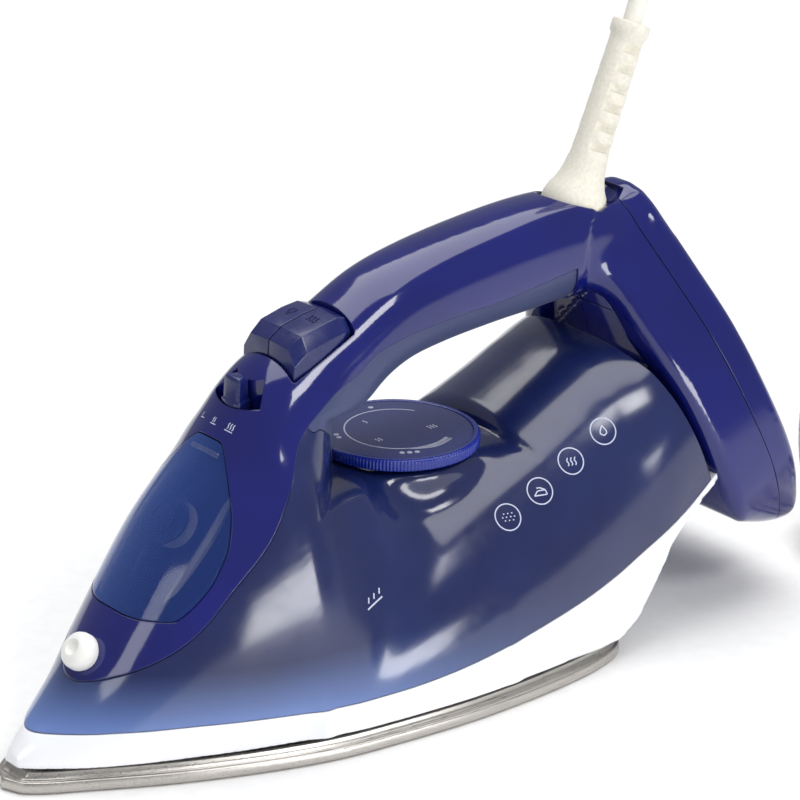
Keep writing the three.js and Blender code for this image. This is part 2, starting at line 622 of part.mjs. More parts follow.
// A plan sector about the valve's rod, from one radius to another.
function sector(inner, outer, half, z0, z1, steps = 10) {
  const arc = (radius, sign) => Array.from({ length: steps + 1 }, (_, i) => {
    const angle = sign * radians(-half + (2 * half * i) / steps);
    return [VALVE_X + radius * Math.cos(angle), radius * Math.sin(angle)];
  });
  return upright([...arc(outer, 1), ...arc(inner, -1)], z0, z1);
}

const tabHalfAngle = (THREE.MathUtils.RAD2DEG * LEVER_TAB) / 2 / LEVER_R;
const fanHalf = () => tabHalfAngle + LEVER_SWING + 3;
const tabTop = () => noseCrest(VALVE_X + LEVER_R) + LEVER_PROUD;

function leverPart() {
  const plane = leverPlane() + GAP;
  const hub = cylinder(HUB_R, LEVER_PLATE + 3, valveAxis.clone().setZ(plane), UP, 16);
  const fan = sector(1, LEVER_R + 3, fanHalf(), plane, plane + LEVER_PLATE);
  const tab = sector(LEVER_R - 3, LEVER_R + 3, tabHalfAngle, plane + 0.5, tabTop(), 4);
  const lever = hub.add(fan).add(tab);
  add("steam_lever", lever, 0x1c2c7c, 0.35);
}

// ---------------------------------------------------------------- pumps and buttons
const SIDES = [["spray", 1], ["burst", -1]];
const buttonTop = (x) => barTop(x) + 2.6;

function buttonForm(side, grown) {
  const inner = 0.4 - grown;
  const outer = BUTTON_SIDE + grown;
  const [front, rear] = [BUTTON_FRONT + grown, BUTTON_REAR - grown];
  const low = (x) => barTop(x) - BUTTON_SKIRT - (grown > 0 ? 8 : 0);
  const high = grown > 0 ? 40 : 0;
  const outline = [
    [front, low(front)], [front, barTop(front) + 3 + high], [6, buttonTop(6) + 3.5 + high],
    [-4, buttonTop(-4) + 1 + high], [-9, buttonTop(-9) - 0.6 + high], [rear, barTop(rear) - 2 + high],
    [rear, low(rear)],
  ];
  const ends = side > 0 ? [inner, outer] : [-outer, -inner];
  return sideways(outline, ...ends);
}

function pumpParts() {
  for (const [name, side] of SIDES) {
    const foot = vec(PUMP_X, side * PUMP_Y, pumpFoot);
    const top = pumpFoot + PUMP_HEIGHT;
    const profile = [
      [1.2, 0], [PUMP_R, 0], [PUMP_R, PUMP_HEIGHT], [PUMP_R - PUMP_WALL, PUMP_HEIGHT],
      [PUMP_R - PUMP_WALL, PUMP_WALL], [1.2, PUMP_WALL], [1.2, 0],
    ];
    add(name + "_pump", turned(profile, foot, UP, 20), 0xd9dade, 0.4);
    const bore = PUMP_R - PUMP_WALL;
    const pistonFoot = pumpFoot + PUMP_WALL + BUTTON_TRAVEL + 6.5;
    const buttonLow = Math.min(barTop(BUTTON_FRONT), barTop(PUMP_X)) - BUTTON_SKIRT;
    const rodTop = Math.max(buttonLow, top + BUTTON_TRAVEL + 1);
    const piston = cylinder(bore - GAP, 4, foot.clone().setZ(pistonFoot), UP, 20)
      .add(cylinder(PLUNGER_R, rodTop - pistonFoot, foot.clone().setZ(pistonFoot), UP, 14));
    add(name + "_piston", piston, 0x5d6066, 0.4);
    const turns = [];
    const springFoot = pumpFoot + PUMP_WALL + GAP + SPRING_WIRE;
    const springTop = pistonFoot - GAP - SPRING_WIRE;
    for (let i = 0; i <= SPRING_TURNS * 8; i++) {
      const angle = (Math.PI * i) / 4;
      const radius = bore - GAP - SPRING_WIRE - 0.3;
      const height = springFoot + ((springTop - springFoot) * i) / (SPRING_TURNS * 8);
      turns.push(vec(PUMP_X + radius * Math.cos(angle), side * PUMP_Y + radius * Math.sin(angle), height));
    }
    add(name + "_spring", tube(turns, SPRING_WIRE, 4, SPRING_TURNS * 6), 0xb9bcc0, 0.3, 0.9);
    const socket = cylinder(PLUNGER_R + GAP, 2 + GAP, foot.clone().setZ(rodTop - 2), UP, 14);
    const recess = box(BUTTON_REAR + 3, BUTTON_FRONT - 3, side > 0 ? 2.4 : -BUTTON_SIDE + 2,
      side > 0 ? BUTTON_SIDE - 2 : -2.4,
      0, rodTop - 2);
    const button = buttonForm(side, 0).subtract(recess).subtract(socket);
    add(name + "_button", button, 0x1c2a74, 0.35);
  }
}

// ---------------------------------------------------------------- fill flap and spray nozzle
// The flap's outline square to the nose: from the pin down to the plug and past it.
const flapTopAt = () => plugCentre().addScaledVector(noseDown, -29);
const noseDown = vec(noseSlope.z, 0, -noseSlope.x);

function flapPrism(grown) {
  const half = FLAP_HALF + grown;
  const outline = [
    [-grown, 6 + grown], [8, 13 + grown], [20, half - 4], [36, half], [50, half], [58, half - 6],
    [62 + grown, half - 15],
  ];
  const round = [...outline, ...outline.map(([a, b]) => [a, -b]).reverse()];
  const shape = new THREE.Shape(round.map(([a, b]) => new THREE.Vector2(a, b)));
  const place = new THREE.Matrix4().makeBasis(noseDown, LEFT, noseSlope);
  place.setPosition(flapTopAt().addScaledVector(noseSlope, -24));
  const border = above(shellLine.map(([x, z]) => [x, z + FLAP_BORDER - grown]));
  return solid(new THREE.ExtrudeGeometry(shape, { depth: 48, bevelEnabled: false }), place).intersect(border);
}

const pinHalf = BARREL_HALF + RUN + LUG;
const pinBore = () => cylinder(FLAP_PIN_R + GAP / 2, 2 * pinHalf + 1, hingeAxis().setY(-pinHalf - 0.5), LEFT,
  12);
const hingeAxis = () => flapTopAt().addScaledVector(noseDown, 4).addScaledVector(noseSlope, -1.2);

function flapParts() {
  const skin = nose().subtract(nose(FLAP_WALL));
  const pin = hingeAxis();
  const barrel = cylinder(FLAP_PIN_R + BARREL_WALL, 2 * BARREL_HALF, pin.clone().setY(-BARREL_HALF), LEFT,
    16);
  const plugFoot = plugCentre().addScaledVector(noseSlope, -FLAP_WALL - PLUG_LENGTH);
  const plug = cylinder(PLUG_R - SEAL_WALL, PLUG_LENGTH + 1, plugFoot, noseSlope, 24);
  const bridge = box(pin.x - 1, pin.x + 3, -5, 5, pin.z - 3, pin.z).intersect(nose(0.5));
  const flap = skin.intersect(flapPrism(0)).add(barrel).add(bridge).add(plug)
    .subtract(pinBore());
  add("fill_flap", flap, 0x3b5cae, 0.12);
  const rod = cylinder(FLAP_PIN_R - GAP / 2, 2 * pinHalf, pin.clone().setY(-pinHalf), LEFT, 12);
  add("flap_hinge_pin", rod, 0xb5b7ba, 0.3, 0.9);
  const seal = ring(PLUG_R, PLUG_R - SEAL_WALL + GAP, 3, plugFoot.clone().addScaledVector(noseSlope, 1),
    noseSlope, 24);
  add("flap_seal", seal, 0xe2e2de, 0.7);
}

const nozzleCentre = () => vec(NOZZLE_X, 0, noseCrest(NOZZLE_X));
const nozzleFoot = () => nozzleCentre().addScaledVector(noseSlope, -4.6);

// The hose from the spray pump to the nozzle, past the fill plug.
function hosePath() {
  const inside = (x, y, depth) => vec(x, y, noseCrest(x) - depth);
  const beside = PLUG_R + RUN + MOUTH_WALL + HOSE_R + 0.6;
  const start = PUMP_X + PUMP_R + GAP;
  return [
    vec(start, PUMP_Y, pumpFoot + 5), vec(start + 5, PUMP_Y + 0.5, pumpFoot + 5), inside(30, 10, 20),
    inside(42, beside, 18), inside(PLUG_X, beside, 18), inside(NOZZLE_X - 18, 8, 20), inside(NOZZLE_X - 10, 3,
      20),
    nozzleFoot().addScaledVector(noseSlope, -5), nozzleFoot().addScaledVector(noseSlope, -GAP),
  ];
}

function nozzleParts() {
  const neck = NOZZLE_R - 1.4;
  const profile = [
    [0.7, 0], [neck, 0], [neck, 5], [NOZZLE_R, 5], [NOZZLE_R, 8.5], [NOZZLE_R - 1.6, 10.5], [2.6, 11], [1.6,
      9.6],
    [0.7, 9.6], [0.7, 0],
  ];
  add("spray_nozzle", turned(profile, nozzleFoot(), noseSlope, 16), 0xf6f6f4, 0.35);
  add("spray_hose", tube(hosePath(), HOSE_R, 6, 18), 0xe8e8e4, 0.5);
}

// ---------------------------------------------------------------- nose, handle and heel shell
const ballX = -SOLE_LENGTH / 2 - BALL_BACK;
const ballCentre = vec(ballX, 0, barTop(ballX) - BALL_SINK);
const clampFoot = ballCentre.clone().addScaledVector(heelUp, -BALL_R - CLAMP - 2);

// The room round the guard's ball, and round its neck at both ends of its swing.
function guardRoom() {
  const ball = solid(new THREE.SphereGeometry(BALL_R + RUN, 16, 10),
    new THREE.Matrix4().setPosition(ballCentre));
  const necks = [GUARD_LEAN + GUARD_BACK, GUARD_LEAN - GUARD_FRONT].map((lean) => {
    const axis = vec(-Math.sin(radians(lean)), 0, Math.cos(radians(lean)));
    return turned([[0, 0], [BALL_R, 2], [GUARD_NECK_R + 2 * RUN, 6], [GUARD_NECK_R + RUN, 18], [0, 18]],
      ballCentre, axis, 16);
  });
  return ball.add(joined(necks));
}

function shellParts() {
  const seam = COVER_DEPTH + GAP;
  const heelWhole = heel(0, 0, HEEL_DEPTH);
  const heelFront = heelWhole.subtract(behind(seam));
  const opening = heelOpening();
  const handle = bar().subtract(behind(seam));
  const outer = nose().add(handle).subtract(underShell()).add(heelFront).subtract(opening);
  const socket = nose(-GAP).add(stern(-GAP)).subtract(behind(HEEL_DEPTH - SPIGOT - GAP));
  const heelHollow = heel(SHELL_WALL, SHELL_WALL, HEEL_DEPTH - SHELL_WALL, HEEL_ROUND - SHELL_WALL)
    .subtract(nose(-GAP - SHELL_WALL).add(stern(-GAP - SHELL_WALL))
      .subtract(behind(HEEL_DEPTH - SPIGOT - GAP - SHELL_WALL)))
    .subtract(heelOpening(-SHELL_WALL));
  const hollow = nose(SHELL_WALL).add(bar(SHELL_WALL).subtract(heelOpening(-SHELL_WALL))).add(heelHollow);
  const lever = LEVER_SWING + tabHalfAngle;
  const leverSlot = sector(LEVER_R - 3 - RUN, LEVER_R + 3 + RUN, lever + 2, leverPlane() - 1, BIG);
  const lugFrom = BARREL_HALF + RUN;
  const flapRoom = cylinder(FLAP_PIN_R + BARREL_WALL + RUN, 2 * lugFrom, hingeAxis().setY(-lugFrom), LEFT,
    16);
  const nozzleHole = cylinder(NOZZLE_R - 1.4 + GAP, 40, nozzleCentre().addScaledVector(noseSlope, -20),
    noseSlope);
  const pin = hingeAxis();
  const flapSwing = flapPrism(RUN).subtract(nose(FLAP_WALL + RUN));
  const lugs = [-lugFrom - LUG, lugFrom].map((y) =>
    box(pin.x - 8, pin.x + 3, y, y + LUG, pin.z - 3, pin.z + 12).intersect(nose(0.2)).subtract(flapSwing));
  const nozzleFlat = cylinder(NOZZLE_R + GAP, 40, nozzleFoot().addScaledVector(noseSlope, 5 - GAP),
    noseSlope);
  const shell = outer
    .subtract(hollow)
    .subtract(socket.intersect(heel(-10, -10, HEEL_DEPTH + 10)))
    .subtract(flapPrism(RUN))
    .add(joined(lugs))
    .subtract(pinBore())
    .subtract(flapRoom)
    .subtract(nozzleHole)
    .subtract(nozzleFlat)
    .subtract(leverSlot)
    .subtract(joined(SIDES.map(([, side]) => buttonForm(side, RUN))))
    .subtract(guardRoom())
    .add(heelBosses(seam, HEEL_DEPTH - 1, SCREW_R + 2.2).intersect(heelWhole))
    .subtract(heelBosses(0, COVER_DEPTH + 11, SCREW_R + GAP));
  add("upper_shell", shell, NAVY, 0.15);
  const coverHollow = heel(SHELL_WALL, SHELL_WALL, BIG,
    HEEL_ROUND - SHELL_WALL).subtract(heelOpening(-SHELL_WALL));
  const cover = heelWhole
    .intersect(behind(COVER_DEPTH))
    .subtract(coverHollow)
    .subtract(opening)
    .subtract(guardRoom())
    .add(heelBosses(SHELL_WALL - 0.5, COVER_DEPTH, SCREW_HEAD_R + 2))
    .subtract(heelBosses(-1, 1.6 + SCREW_HEAD + GAP, SCREW_HEAD_R + GAP))
    .subtract(heelBosses(-1, BIG, SCREW_R + GAP));
  add("rear_cover", cover, 0x18225e, 0.2);
  const grip = bar().intersect(underShell(GAP)).subtract(bar(SHELL_WALL))
    .subtract(nose(-GAP))
    .subtract(stern(-GAP))
    .subtract(heel(-GAP, -GAP, HEEL_DEPTH + GAP))
    .subtract(cylinder(DIAL_R + RUN, DIAL_TOP + RUN, dialAxis, UP, 32));
  add("grip_underside", grip, 0x2e3c66, 0.5);
}

// ---------------------------------------------------------------- what the heel and the sole hold
const heelMatrix = (side, height, depth) =>
  new THREE.Matrix4().makeBasis(LEFT, heelUp, heelIn).setPosition(heelPoint(side, height, depth));

// The heel's two screws: from their heads in the rear cover into bosses of the shell.
const screwPlaces = () => [-1, 1].map((side) => [side * 0.5 * HEEL_HALF, 0.2 * HEEL_HEIGHT]);

function heelBosses(from, to, radius) {
  return joined(screwPlaces().map(([side, height]) =>
    cylinder(radius, to - from, heelPoint(side, height, from), heelIn, 16)));
}

function fastenerParts() {
  screwPlaces().forEach(([side, height], i) => {
    const name = "rear_cover_screw_" + (i === 0 ? "right" : "left");
    const head = cylinder(SCREW_HEAD_R, SCREW_HEAD, heelPoint(side, height, 1.6), heelIn, 16);
    const shank = cylinder(SCREW_R, COVER_DEPTH + 8, heelPoint(side, height, 1.6), heelIn, 12);
    add(name, head.add(shank), 0xa9acb0, 0.35, 0.9);
  });
  for (const [name, side] of [["left", 1], ["right", -1]]) {
    const foot = vec(along(-0.78), side * across(0.38), plateTop + 2);
    const head = cylinder(SCREW_HEAD_R, SCREW_HEAD, foot.clone().setZ(castingTop + GAP), UP, 16);
    const shank = cylinder(SCREW_R, castingTop + GAP - foot.z + 1, foot, UP, 12);
    add("sole_screw_" + name, head.add(shank), 0xa9acb0, 0.35, 0.9);
  }
}

function heelFittings() {
  const block = new THREE.BoxGeometry(28, 12, 9);
  const depth = HEEL_DEPTH - SPIGOT - GAP - SHELL_WALL - GAP - 4.5;
  add("terminal_block", solid(block, heelMatrix(0, 0.24 * HEEL_HEIGHT, depth)), 0xe6e3d8, 0.5);
  for (const [name, side] of [["live", 1], ["neutral", -1]]) {
    const points = [[0.368, 0.828, 18], [0.535, 0.71, 17], [0.68, 0.6, 16], [0.62, 0.48, 15],
      [0.36, 0.36, 15],
      [0.16, 0.295, 16]];
    const start = clampFoot.clone().addScaledVector(heelUp, -WIRE_R - GAP).addScaledVector(LEFT,
      side * CORD_R);
    const bend = start.clone().addScaledVector(LEFT, side * 2 * CORD_R).addScaledVector(heelIn, -CLAMP);
    const path = [start, bend, ...points.map(([share, height, inwards]) =>
      heelPoint(side * share * HEEL_HALF, height * HEEL_HEIGHT, inwards))];
    add("wire_" + name, tube(path, WIRE_R, 6, 16), side > 0 ? 0x7a4a2a : 0x2f62b5, 0.5);
  }
  const fuse = vec(along(-0.8), -8, castingTop + GAP + 3);
  add("thermal_fuse", cylinder(3, 16, fuse, LEFT, 14), 0xc8c9cb, 0.4, 0.7);
  for (const [name, side] of SIDES) {
    const foot = vec(PUMP_X + 3, side * (PUMP_Y - 0.5), up(0.112) + 3 * TANK_WALL);
    const dip = cylinder(1.5, TANK_SHELF - TANK_WALL - 2 * GAP - foot.z, foot, UP, 10);
    add(name + "_dip_tube", dip, 0xeceae4, 0.5);
  }
}

// ---------------------------------------------------------------- cord guard
const guardAxis = vec(-Math.sin(radians(GUARD_LEAN)), 0, Math.cos(radians(GUARD_LEAN)));

function guardParts() {
  const pitch = (GUARD_LENGTH - 14) / GUARD_RIBS;
  const bore = CORD_R + GAP;
  const cuts = [];
  for (let i = 0; i < GUARD_RIBS; i++)
    for (const side of [-1, 1]) {
      const height = BALL_R + 6 + pitch * (i + (side > 0 ? 0.5 : 0));
      const centre = ballCentre.clone().addScaledVector(guardAxis, height).addScaledVector(LEFT,
        side * (GUARD_R + 1));
      const place = standing(centre, guardAxis);
      cuts.push(solid(new THREE.BoxGeometry(2 * GUARD_R + 2, 2 * (GUARD_R + 1 - bore - 0.8), pitch * 0.42),
        place));
    }
  const profile = [
    [bore, -BALL_R + 4], [6, -BALL_R + 2], [9.6, -6], [BALL_R, 0], [GUARD_NECK_R, 6.4], [8.2, 9], [GUARD_R +
      0.4, 13],
    [GUARD_R, 20], [GUARD_R - 0.4, BALL_R + GUARD_LENGTH - 4], [GUARD_R + 0.8, BALL_R + GUARD_LENGTH],
    [bore, BALL_R + GUARD_LENGTH], [bore, -BALL_R + 4],
  ];
  const guard = turned(profile, ballCentre, guardAxis, 16).subtract(joined(cuts));
  add("cord_guard", guard, 0xf5f4ee, 0.55);
  add("cord_clamp", ring(CORD_R + 2.7, CORD_R + 0.6, CLAMP, clampFoot, heelUp, 16), 0xd0d0cc, 0.5);
}

// ---------------------------------------------------------------- mains lead
// The free stretch: up out of the guard, over and down behind the heel to the table.
const LEAD_ROUTE = [
  [-149.2, 0, 217], [-161, 2, 233.2], [-180.4, 5, 242.3], [-201.8, 9, 240.4], [-219.3, 12.5, 228.1],
  [-227.6, 14.5, 212.2], [-229, 15, 200], [-229.2, 15, 165], [-229.2, 15, 125], [-229.2, 15, 85],
  [-229.2, 15, 55], [-229.4, 15, 36], [-233, 15.5, 20], [-243.9, 16.8, 8.9], [-256, 18.2, 5.2],
];
// From the top of the coil in a half turn to the plug.
const TAIL_ROUTE = [
  [-253, 96.4, 24.8], [-239, 92.6, 25], [-228.8, 82.4, 25.6], [-225, 68.4, 26.6], [-228.8, 54.4, 27.8],
  [-239, 44.2, 28.8], [-248, 40.8, 29.4], [-254, 40.4, 29.4],
];
const COIL_BOTTOM = 1.6; // room for the tie under the coil
const COIL_ROWS = 3;
const COIL_HEIGHT = 19.4;

function cordParts() {
  const points = (route) => route.map(([x, y, z]) => vec(x, y, z));
  const guardEnd = ballCentre.clone().addScaledVector(guardAxis, BALL_R + GUARD_LENGTH + GAP);
  const lead = tube([guardEnd, ...points(LEAD_ROUTE)], CORD_R, 8, 32);
  const half = COIL_ROWS * CORD_R;
  const profile = [
    [COIL_R - half, 0], [COIL_R + half, 0], [COIL_R + half, COIL_HEIGHT], [COIL_R - half, COIL_HEIGHT],
    [COIL_R - half, 0],
  ];
  const centre = vec(COIL_X, COIL_Y, COIL_BOTTOM);
  const coil = turned(profile, centre, UP, 24);
  const clear = turned([[COIL_R - half - GAP, -GAP], [COIL_R + half + GAP, -GAP],
    [COIL_R + half + GAP, COIL_HEIGHT + GAP], [COIL_R - half - GAP, COIL_HEIGHT + GAP],
    [COIL_R - half - GAP, -GAP]], centre, UP, 24);
  add("cord_lead", lead.subtract(clear), 0xf3f2ed, 0.55);
  add("cord_coil", coil, 0xf3f2ed, 0.55);
  const band = 1.1;
  const tie = box(COIL_X - COIL_R - half - GAP - band, COIL_X - COIL_R + half + GAP + band, COIL_Y - 4,
    COIL_Y + 4,
    COIL_BOTTOM - GAP - band, COIL_BOTTOM + COIL_HEIGHT + GAP + band).subtract(clear);
  add("cord_tie", tie, 0x2b2b2d, 0.6);
  add("cord_tail", tube(points(TAIL_ROUTE), CORD_R, 8, 14), 0xf3f2ed, 0.55);
  const plugFoot = vec(...TAIL_ROUTE.at(-1)).add(vec(-2 * GAP, 0, 0));
  const back = vec(-1, 0, 0);
  const body = turned([[0, 0], [4.2, 0], [4.6, 10], [7.6, 14], [7.8, 32], [6.4, 38], [0, 38]], plugFoot, back,
    20);
  const pins = [-1, 1].map((side) => cylinder(2, 18, plugFoot.clone().add(vec(-37, side * 4.2, 0)), back,
    12));
  add("mains_plug", body.add(joined(pins)), 0xf3f2ed, 0.5);
}

soleParts();
dialParts();
skirtPart();
tankPart();
valveParts();
leverPart();
pumpParts();
flapParts();
nozzleParts();
shellParts();
fastenerParts();
heelFittings();
guardParts();
cordParts();

export default iron;
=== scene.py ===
"""A steam iron: glossy navy shell, tinted tank, white skirt, metal sole plate, and its mains lead.

Lengths in the tables are millimetres unless a comment says that they are shares. +X points to the nose, +Y to the
iron's left and +Z up. The origin is on the ironing face, midway along the sole plate.
"""
import math

import bmesh
import bpy
import numpy as np
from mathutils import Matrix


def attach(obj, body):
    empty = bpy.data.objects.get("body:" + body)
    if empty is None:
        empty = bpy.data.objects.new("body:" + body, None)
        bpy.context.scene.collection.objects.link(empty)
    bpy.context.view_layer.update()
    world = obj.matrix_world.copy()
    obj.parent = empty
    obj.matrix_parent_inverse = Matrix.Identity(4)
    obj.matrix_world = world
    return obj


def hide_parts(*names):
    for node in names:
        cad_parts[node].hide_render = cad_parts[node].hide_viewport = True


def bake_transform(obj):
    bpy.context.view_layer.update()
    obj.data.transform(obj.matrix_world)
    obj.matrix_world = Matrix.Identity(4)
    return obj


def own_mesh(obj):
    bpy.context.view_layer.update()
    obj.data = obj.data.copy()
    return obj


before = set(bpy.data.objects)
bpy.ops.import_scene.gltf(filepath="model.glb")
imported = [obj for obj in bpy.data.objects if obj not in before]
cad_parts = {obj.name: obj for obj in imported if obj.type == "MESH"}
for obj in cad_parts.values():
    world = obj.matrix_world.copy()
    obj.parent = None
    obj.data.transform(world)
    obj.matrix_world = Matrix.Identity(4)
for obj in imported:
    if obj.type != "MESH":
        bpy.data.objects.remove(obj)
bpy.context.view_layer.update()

import openvdb
from mathutils import Matrix, Vector
from mathutils.bvhtree import BVHTree

MM = 0.001

# ------------------------------------------------------------ driving sizes, the same as the frame's
SOLE_LENGTH = 232
SOLE_WIDTH = 114
HANDLE_TOP = 153
SKIRT_BOTTOM = 7.4
SEAM = 0.35

DIAL_X = -43.5
DIAL_R = 28.2
DIAL_TOP = 82.5
DIAL_RIM = 4.2

VALVE_X = 9
LEVER_R = 14.5
LEVER_TAB = 8
BUTTON_FRONT = 11
BUTTON_REAR = -13

NOZZLE_X = 83.5
PLUG_X = 54

HEEL_LEAN = math.radians(22.5)
HEEL_HALF = 51.5
HEEL_DEPTH = 33
HEEL_FOOT = np.array([-198.0, 0, 22])
HEEL_ROUND = 5
COVER_DEPTH = 12

BALL_R = 11.5
GUARD_LENGTH = 54
GUARD_LEAN = math.radians(22)
CORD_R = 3.3
COIL_CENTRE = np.array([-253.0, 60, 0])

AXIS_X, AXIS_Y, AXIS_Z = np.eye(3)


def unit(v):
    v = np.asarray(v, float)
    return v / np.linalg.norm(v)


# ------------------------------------------------------------ camera
CAMERA_PLACE = np.array([614.213, 775.843, 494.706])
CAMERA_AIM = np.array([-45.089, -0.398, 92.298])
CAMERA_ROLL = math.radians(1.029)

towards = unit(CAMERA_PLACE - CAMERA_AIM)
level = unit(np.cross(AXIS_Z, towards))
upright_axis = np.cross(towards, level)
camera = bpy.data.objects.new("camera", bpy.data.cameras.new("camera"))
camera.data.lens = 148.37
camera.data.sensor_width = 36
camera.data.clip_end = 20
rows = np.eye(4)
rows[:3, 0] = level * math.cos(CAMERA_ROLL) + upright_axis * math.sin(CAMERA_ROLL)
rows[:3, 1] = upright_axis * math.cos(CAMERA_ROLL) - level * math.sin(CAMERA_ROLL)
rows[:3, 2] = towards
rows[:3, 3] = CAMERA_PLACE * MM
camera.matrix_world = Matrix(rows.tolist())
bpy.context.scene.collection.objects.link(camera)
bpy.context.scene.camera = camera


# ------------------------------------------------------------ materials
def linear(code):
    """An sRGB hex colour as linear RGBA."""
    parts = [int(code[i:i + 2], 16) / 255 for i in (1, 3, 5)]
    return [p / 12.92 if p <= 0.04045 else ((p + 0.055) / 1.055) ** 2.4 for p in parts] + [1]


def put(tree, kind, inputs=None, **settings):
    """Adds a node, with its settings and with a value or a link for each named input."""
    node = tree.nodes.new(kind)
    for key, value in settings.items():
        setattr(node, key, value)
    for key, value in (inputs or {}).items():
        if isinstance(value, bpy.types.NodeSocket):
            tree.links.new(value, node.inputs[key])
        else:
            node.inputs[key].default_value = value
    return node


def finish_of(name, look):
    """A new material whose surface is the principled shader that look() returns the sockets of."""
    material = bpy.data.materials.new(name)
    material.use_nodes = True
    tree = material.node_tree
    tree.nodes.clear()
    place = put(tree, "ShaderNodeTexCoord").outputs["Object"]
    shader = put(tree, "ShaderNodeBsdfPrincipled", look(tree, place))
    put(tree, "ShaderNodeOutputMaterial", {"Surface": shader.outputs["BSDF"]})
    return material


def grain(tree, place, size, detail=3, stretch=(1, 1, 1)):
    """Noise whose grains are about size millimetres across."""
    mapped = put(tree, "ShaderNodeMapping", {"Vector": place, "Scale": stretch}).outputs["Vector"]
    return put(
        tree, "ShaderNodeTexNoise", {"Vector": mapped, "Scale": 1 / (size * MM), "Detail": detail},
    ).outputs["Fac"]


def moulded(base, deeper, rough, bump=0.012, size=9, coat=0.0, ior=1.5, edge=0.5):
    """A moulded plastic: a slow drift of shade, the faint waviness of the mould, and softened edges."""
    def look(tree, place):
        drift = grain(tree, place, 40, 2)
        wave = grain(tree, place, size, 2)
        edges = put(tree, "ShaderNodeBevel", {"Radius": edge * MM}, samples=6).outputs["Normal"]
        return {
            "Base Color": put(
                tree, "ShaderNodeMix",
                {
                    0: put(
                        tree, "ShaderNodeMapRange",
                        {"Value": drift, "From Min": 0.3, "From Max": 0.7, "To Min": 0, "To Max": 1},
                    ).outputs["Result"],
                    6: linear(base),
                    7: linear(deeper),
                },
                data_type="RGBA",
            ).outputs[2],
            "Roughness": put(
                tree, "ShaderNodeMapRange",
                {
                    "Value": grain(tree, place, 3),
                    "From Min": 0.3,
                    "From Max": 0.7,
                    "To Min": rough * 0.85,
                    "To Max": rough * 1.2,
                },
            ).outputs["Result"],
            "Normal": put(
                tree, "ShaderNodeBump",
                {"Height": wave, "Distance": bump * MM, "Strength": 0.6, "Normal": edges},
            ).outputs["Normal"],
            "IOR": ior,
            "Coat Weight": coat,
            "Coat Roughness": 0.03,
        }
    return look


# Injection-moulded ABS with a polished skin: deep navy, mirror-like, with a trace of waviness.
navy_gloss_abs = finish_of("navy_gloss_abs", moulded("#141a6a", "#10165c", 0.1, coat=0.35))
# The same ABS from a satin tool, for the buttons and the lever.
navy_satin_abs = finish_of("navy_satin_abs", moulded("#15205f", "#111a54", 0.26, size=4, coat=0.2, edge=0.4))
# Polished white polypropylene: clean and bright with soft reflections.
white_gloss_pp = finish_of("white_gloss_pp", moulded("#f4f5f8", "#eceef3", 0.2, coat=0.3))
# Unpolished white polypropylene, for the nozzle.
white_satin_pp = finish_of("white_satin_pp", moulded("#f5f5f2", "#ebebe7", 0.36, size=3))


def tank_look(tree, place):
    # Painted light: a mask that is strongest low down and at the front, for the light that shines through the thin
    # plastic. It fades out between 12 and 36 mm up and towards the rear.
    axes = put(tree, "ShaderNodeSeparateXYZ", {"Vector": place})
    height = put(
        tree, "ShaderNodeMapRange",
        {"Value": axes.outputs["Z"], "From Min": 0.012, "From Max": 0.036, "To Min": 1, "To Max": 0},
    ).outputs["Result"]
    forward = put(
        tree, "ShaderNodeMapRange",
        {"Value": axes.outputs["X"], "From Min": -0.085, "From Max": 0.03, "To Min": 0.12, "To Max": 1},
    ).outputs["Result"]
    light = put(tree, "ShaderNodeMath", {0: height, 1: forward}, operation="MULTIPLY").outputs[0]
    eased = put(tree, "ShaderNodeMath", {0: light, 1: 1.35}, operation="POWER").outputs[0]
    cloud = grain(tree, place, 30, 2)
    deep = put(
        tree, "ShaderNodeMix",
        {
            0: put(
                tree, "ShaderNodeMapRange",
                {"Value": cloud, "From Min": 0.3, "From Max": 0.7, "To Min": 0, "To Max": 1},
            ).outputs["Result"],
            6: linear("#161f4c"),
            7: linear("#1c2859"),
        },
        data_type="RGBA",
    ).outputs[2]
    edges = put(tree, "ShaderNodeBevel", {"Radius": 0.5 * MM}, samples=6).outputs["Normal"]
    return {
        # The painted light mask mixes the navy towards pale periwinkle.
        "Base Color": put(
            tree, "ShaderNodeMix", {0: eased, 6: deep, 7: linear("#7895d6")}, data_type="RGBA",
        ).outputs[2],
        "Roughness": put(
            tree, "ShaderNodeMapRange",
            {
                "Value": grain(tree, place, 4),
                "From Min": 0.3,
                "From Max": 0.7,
                "To Min": 0.13,
                "To Max": 0.18,
            },
        ).outputs["Result"],
        "Normal": put(
            tree, "ShaderNodeBump",
            {"Height": grain(tree, place, 14, 1), "Distance": 0.02 * MM, "Strength": 0.5, "Normal": edges},
        ).outputs["Normal"],
        "IOR": 1.58,
        "Coat Weight": 0.25,
        "Coat Roughness": 0.09,
    }


# Tinted polycarbonate, blow-clear, as an opaque surface: the light that shines through its thin lower front is
# painted into its colour, so it is paler and bluer there.
tinted_polycarbonate = finish_of("tinted_polycarbonate", tank_look)


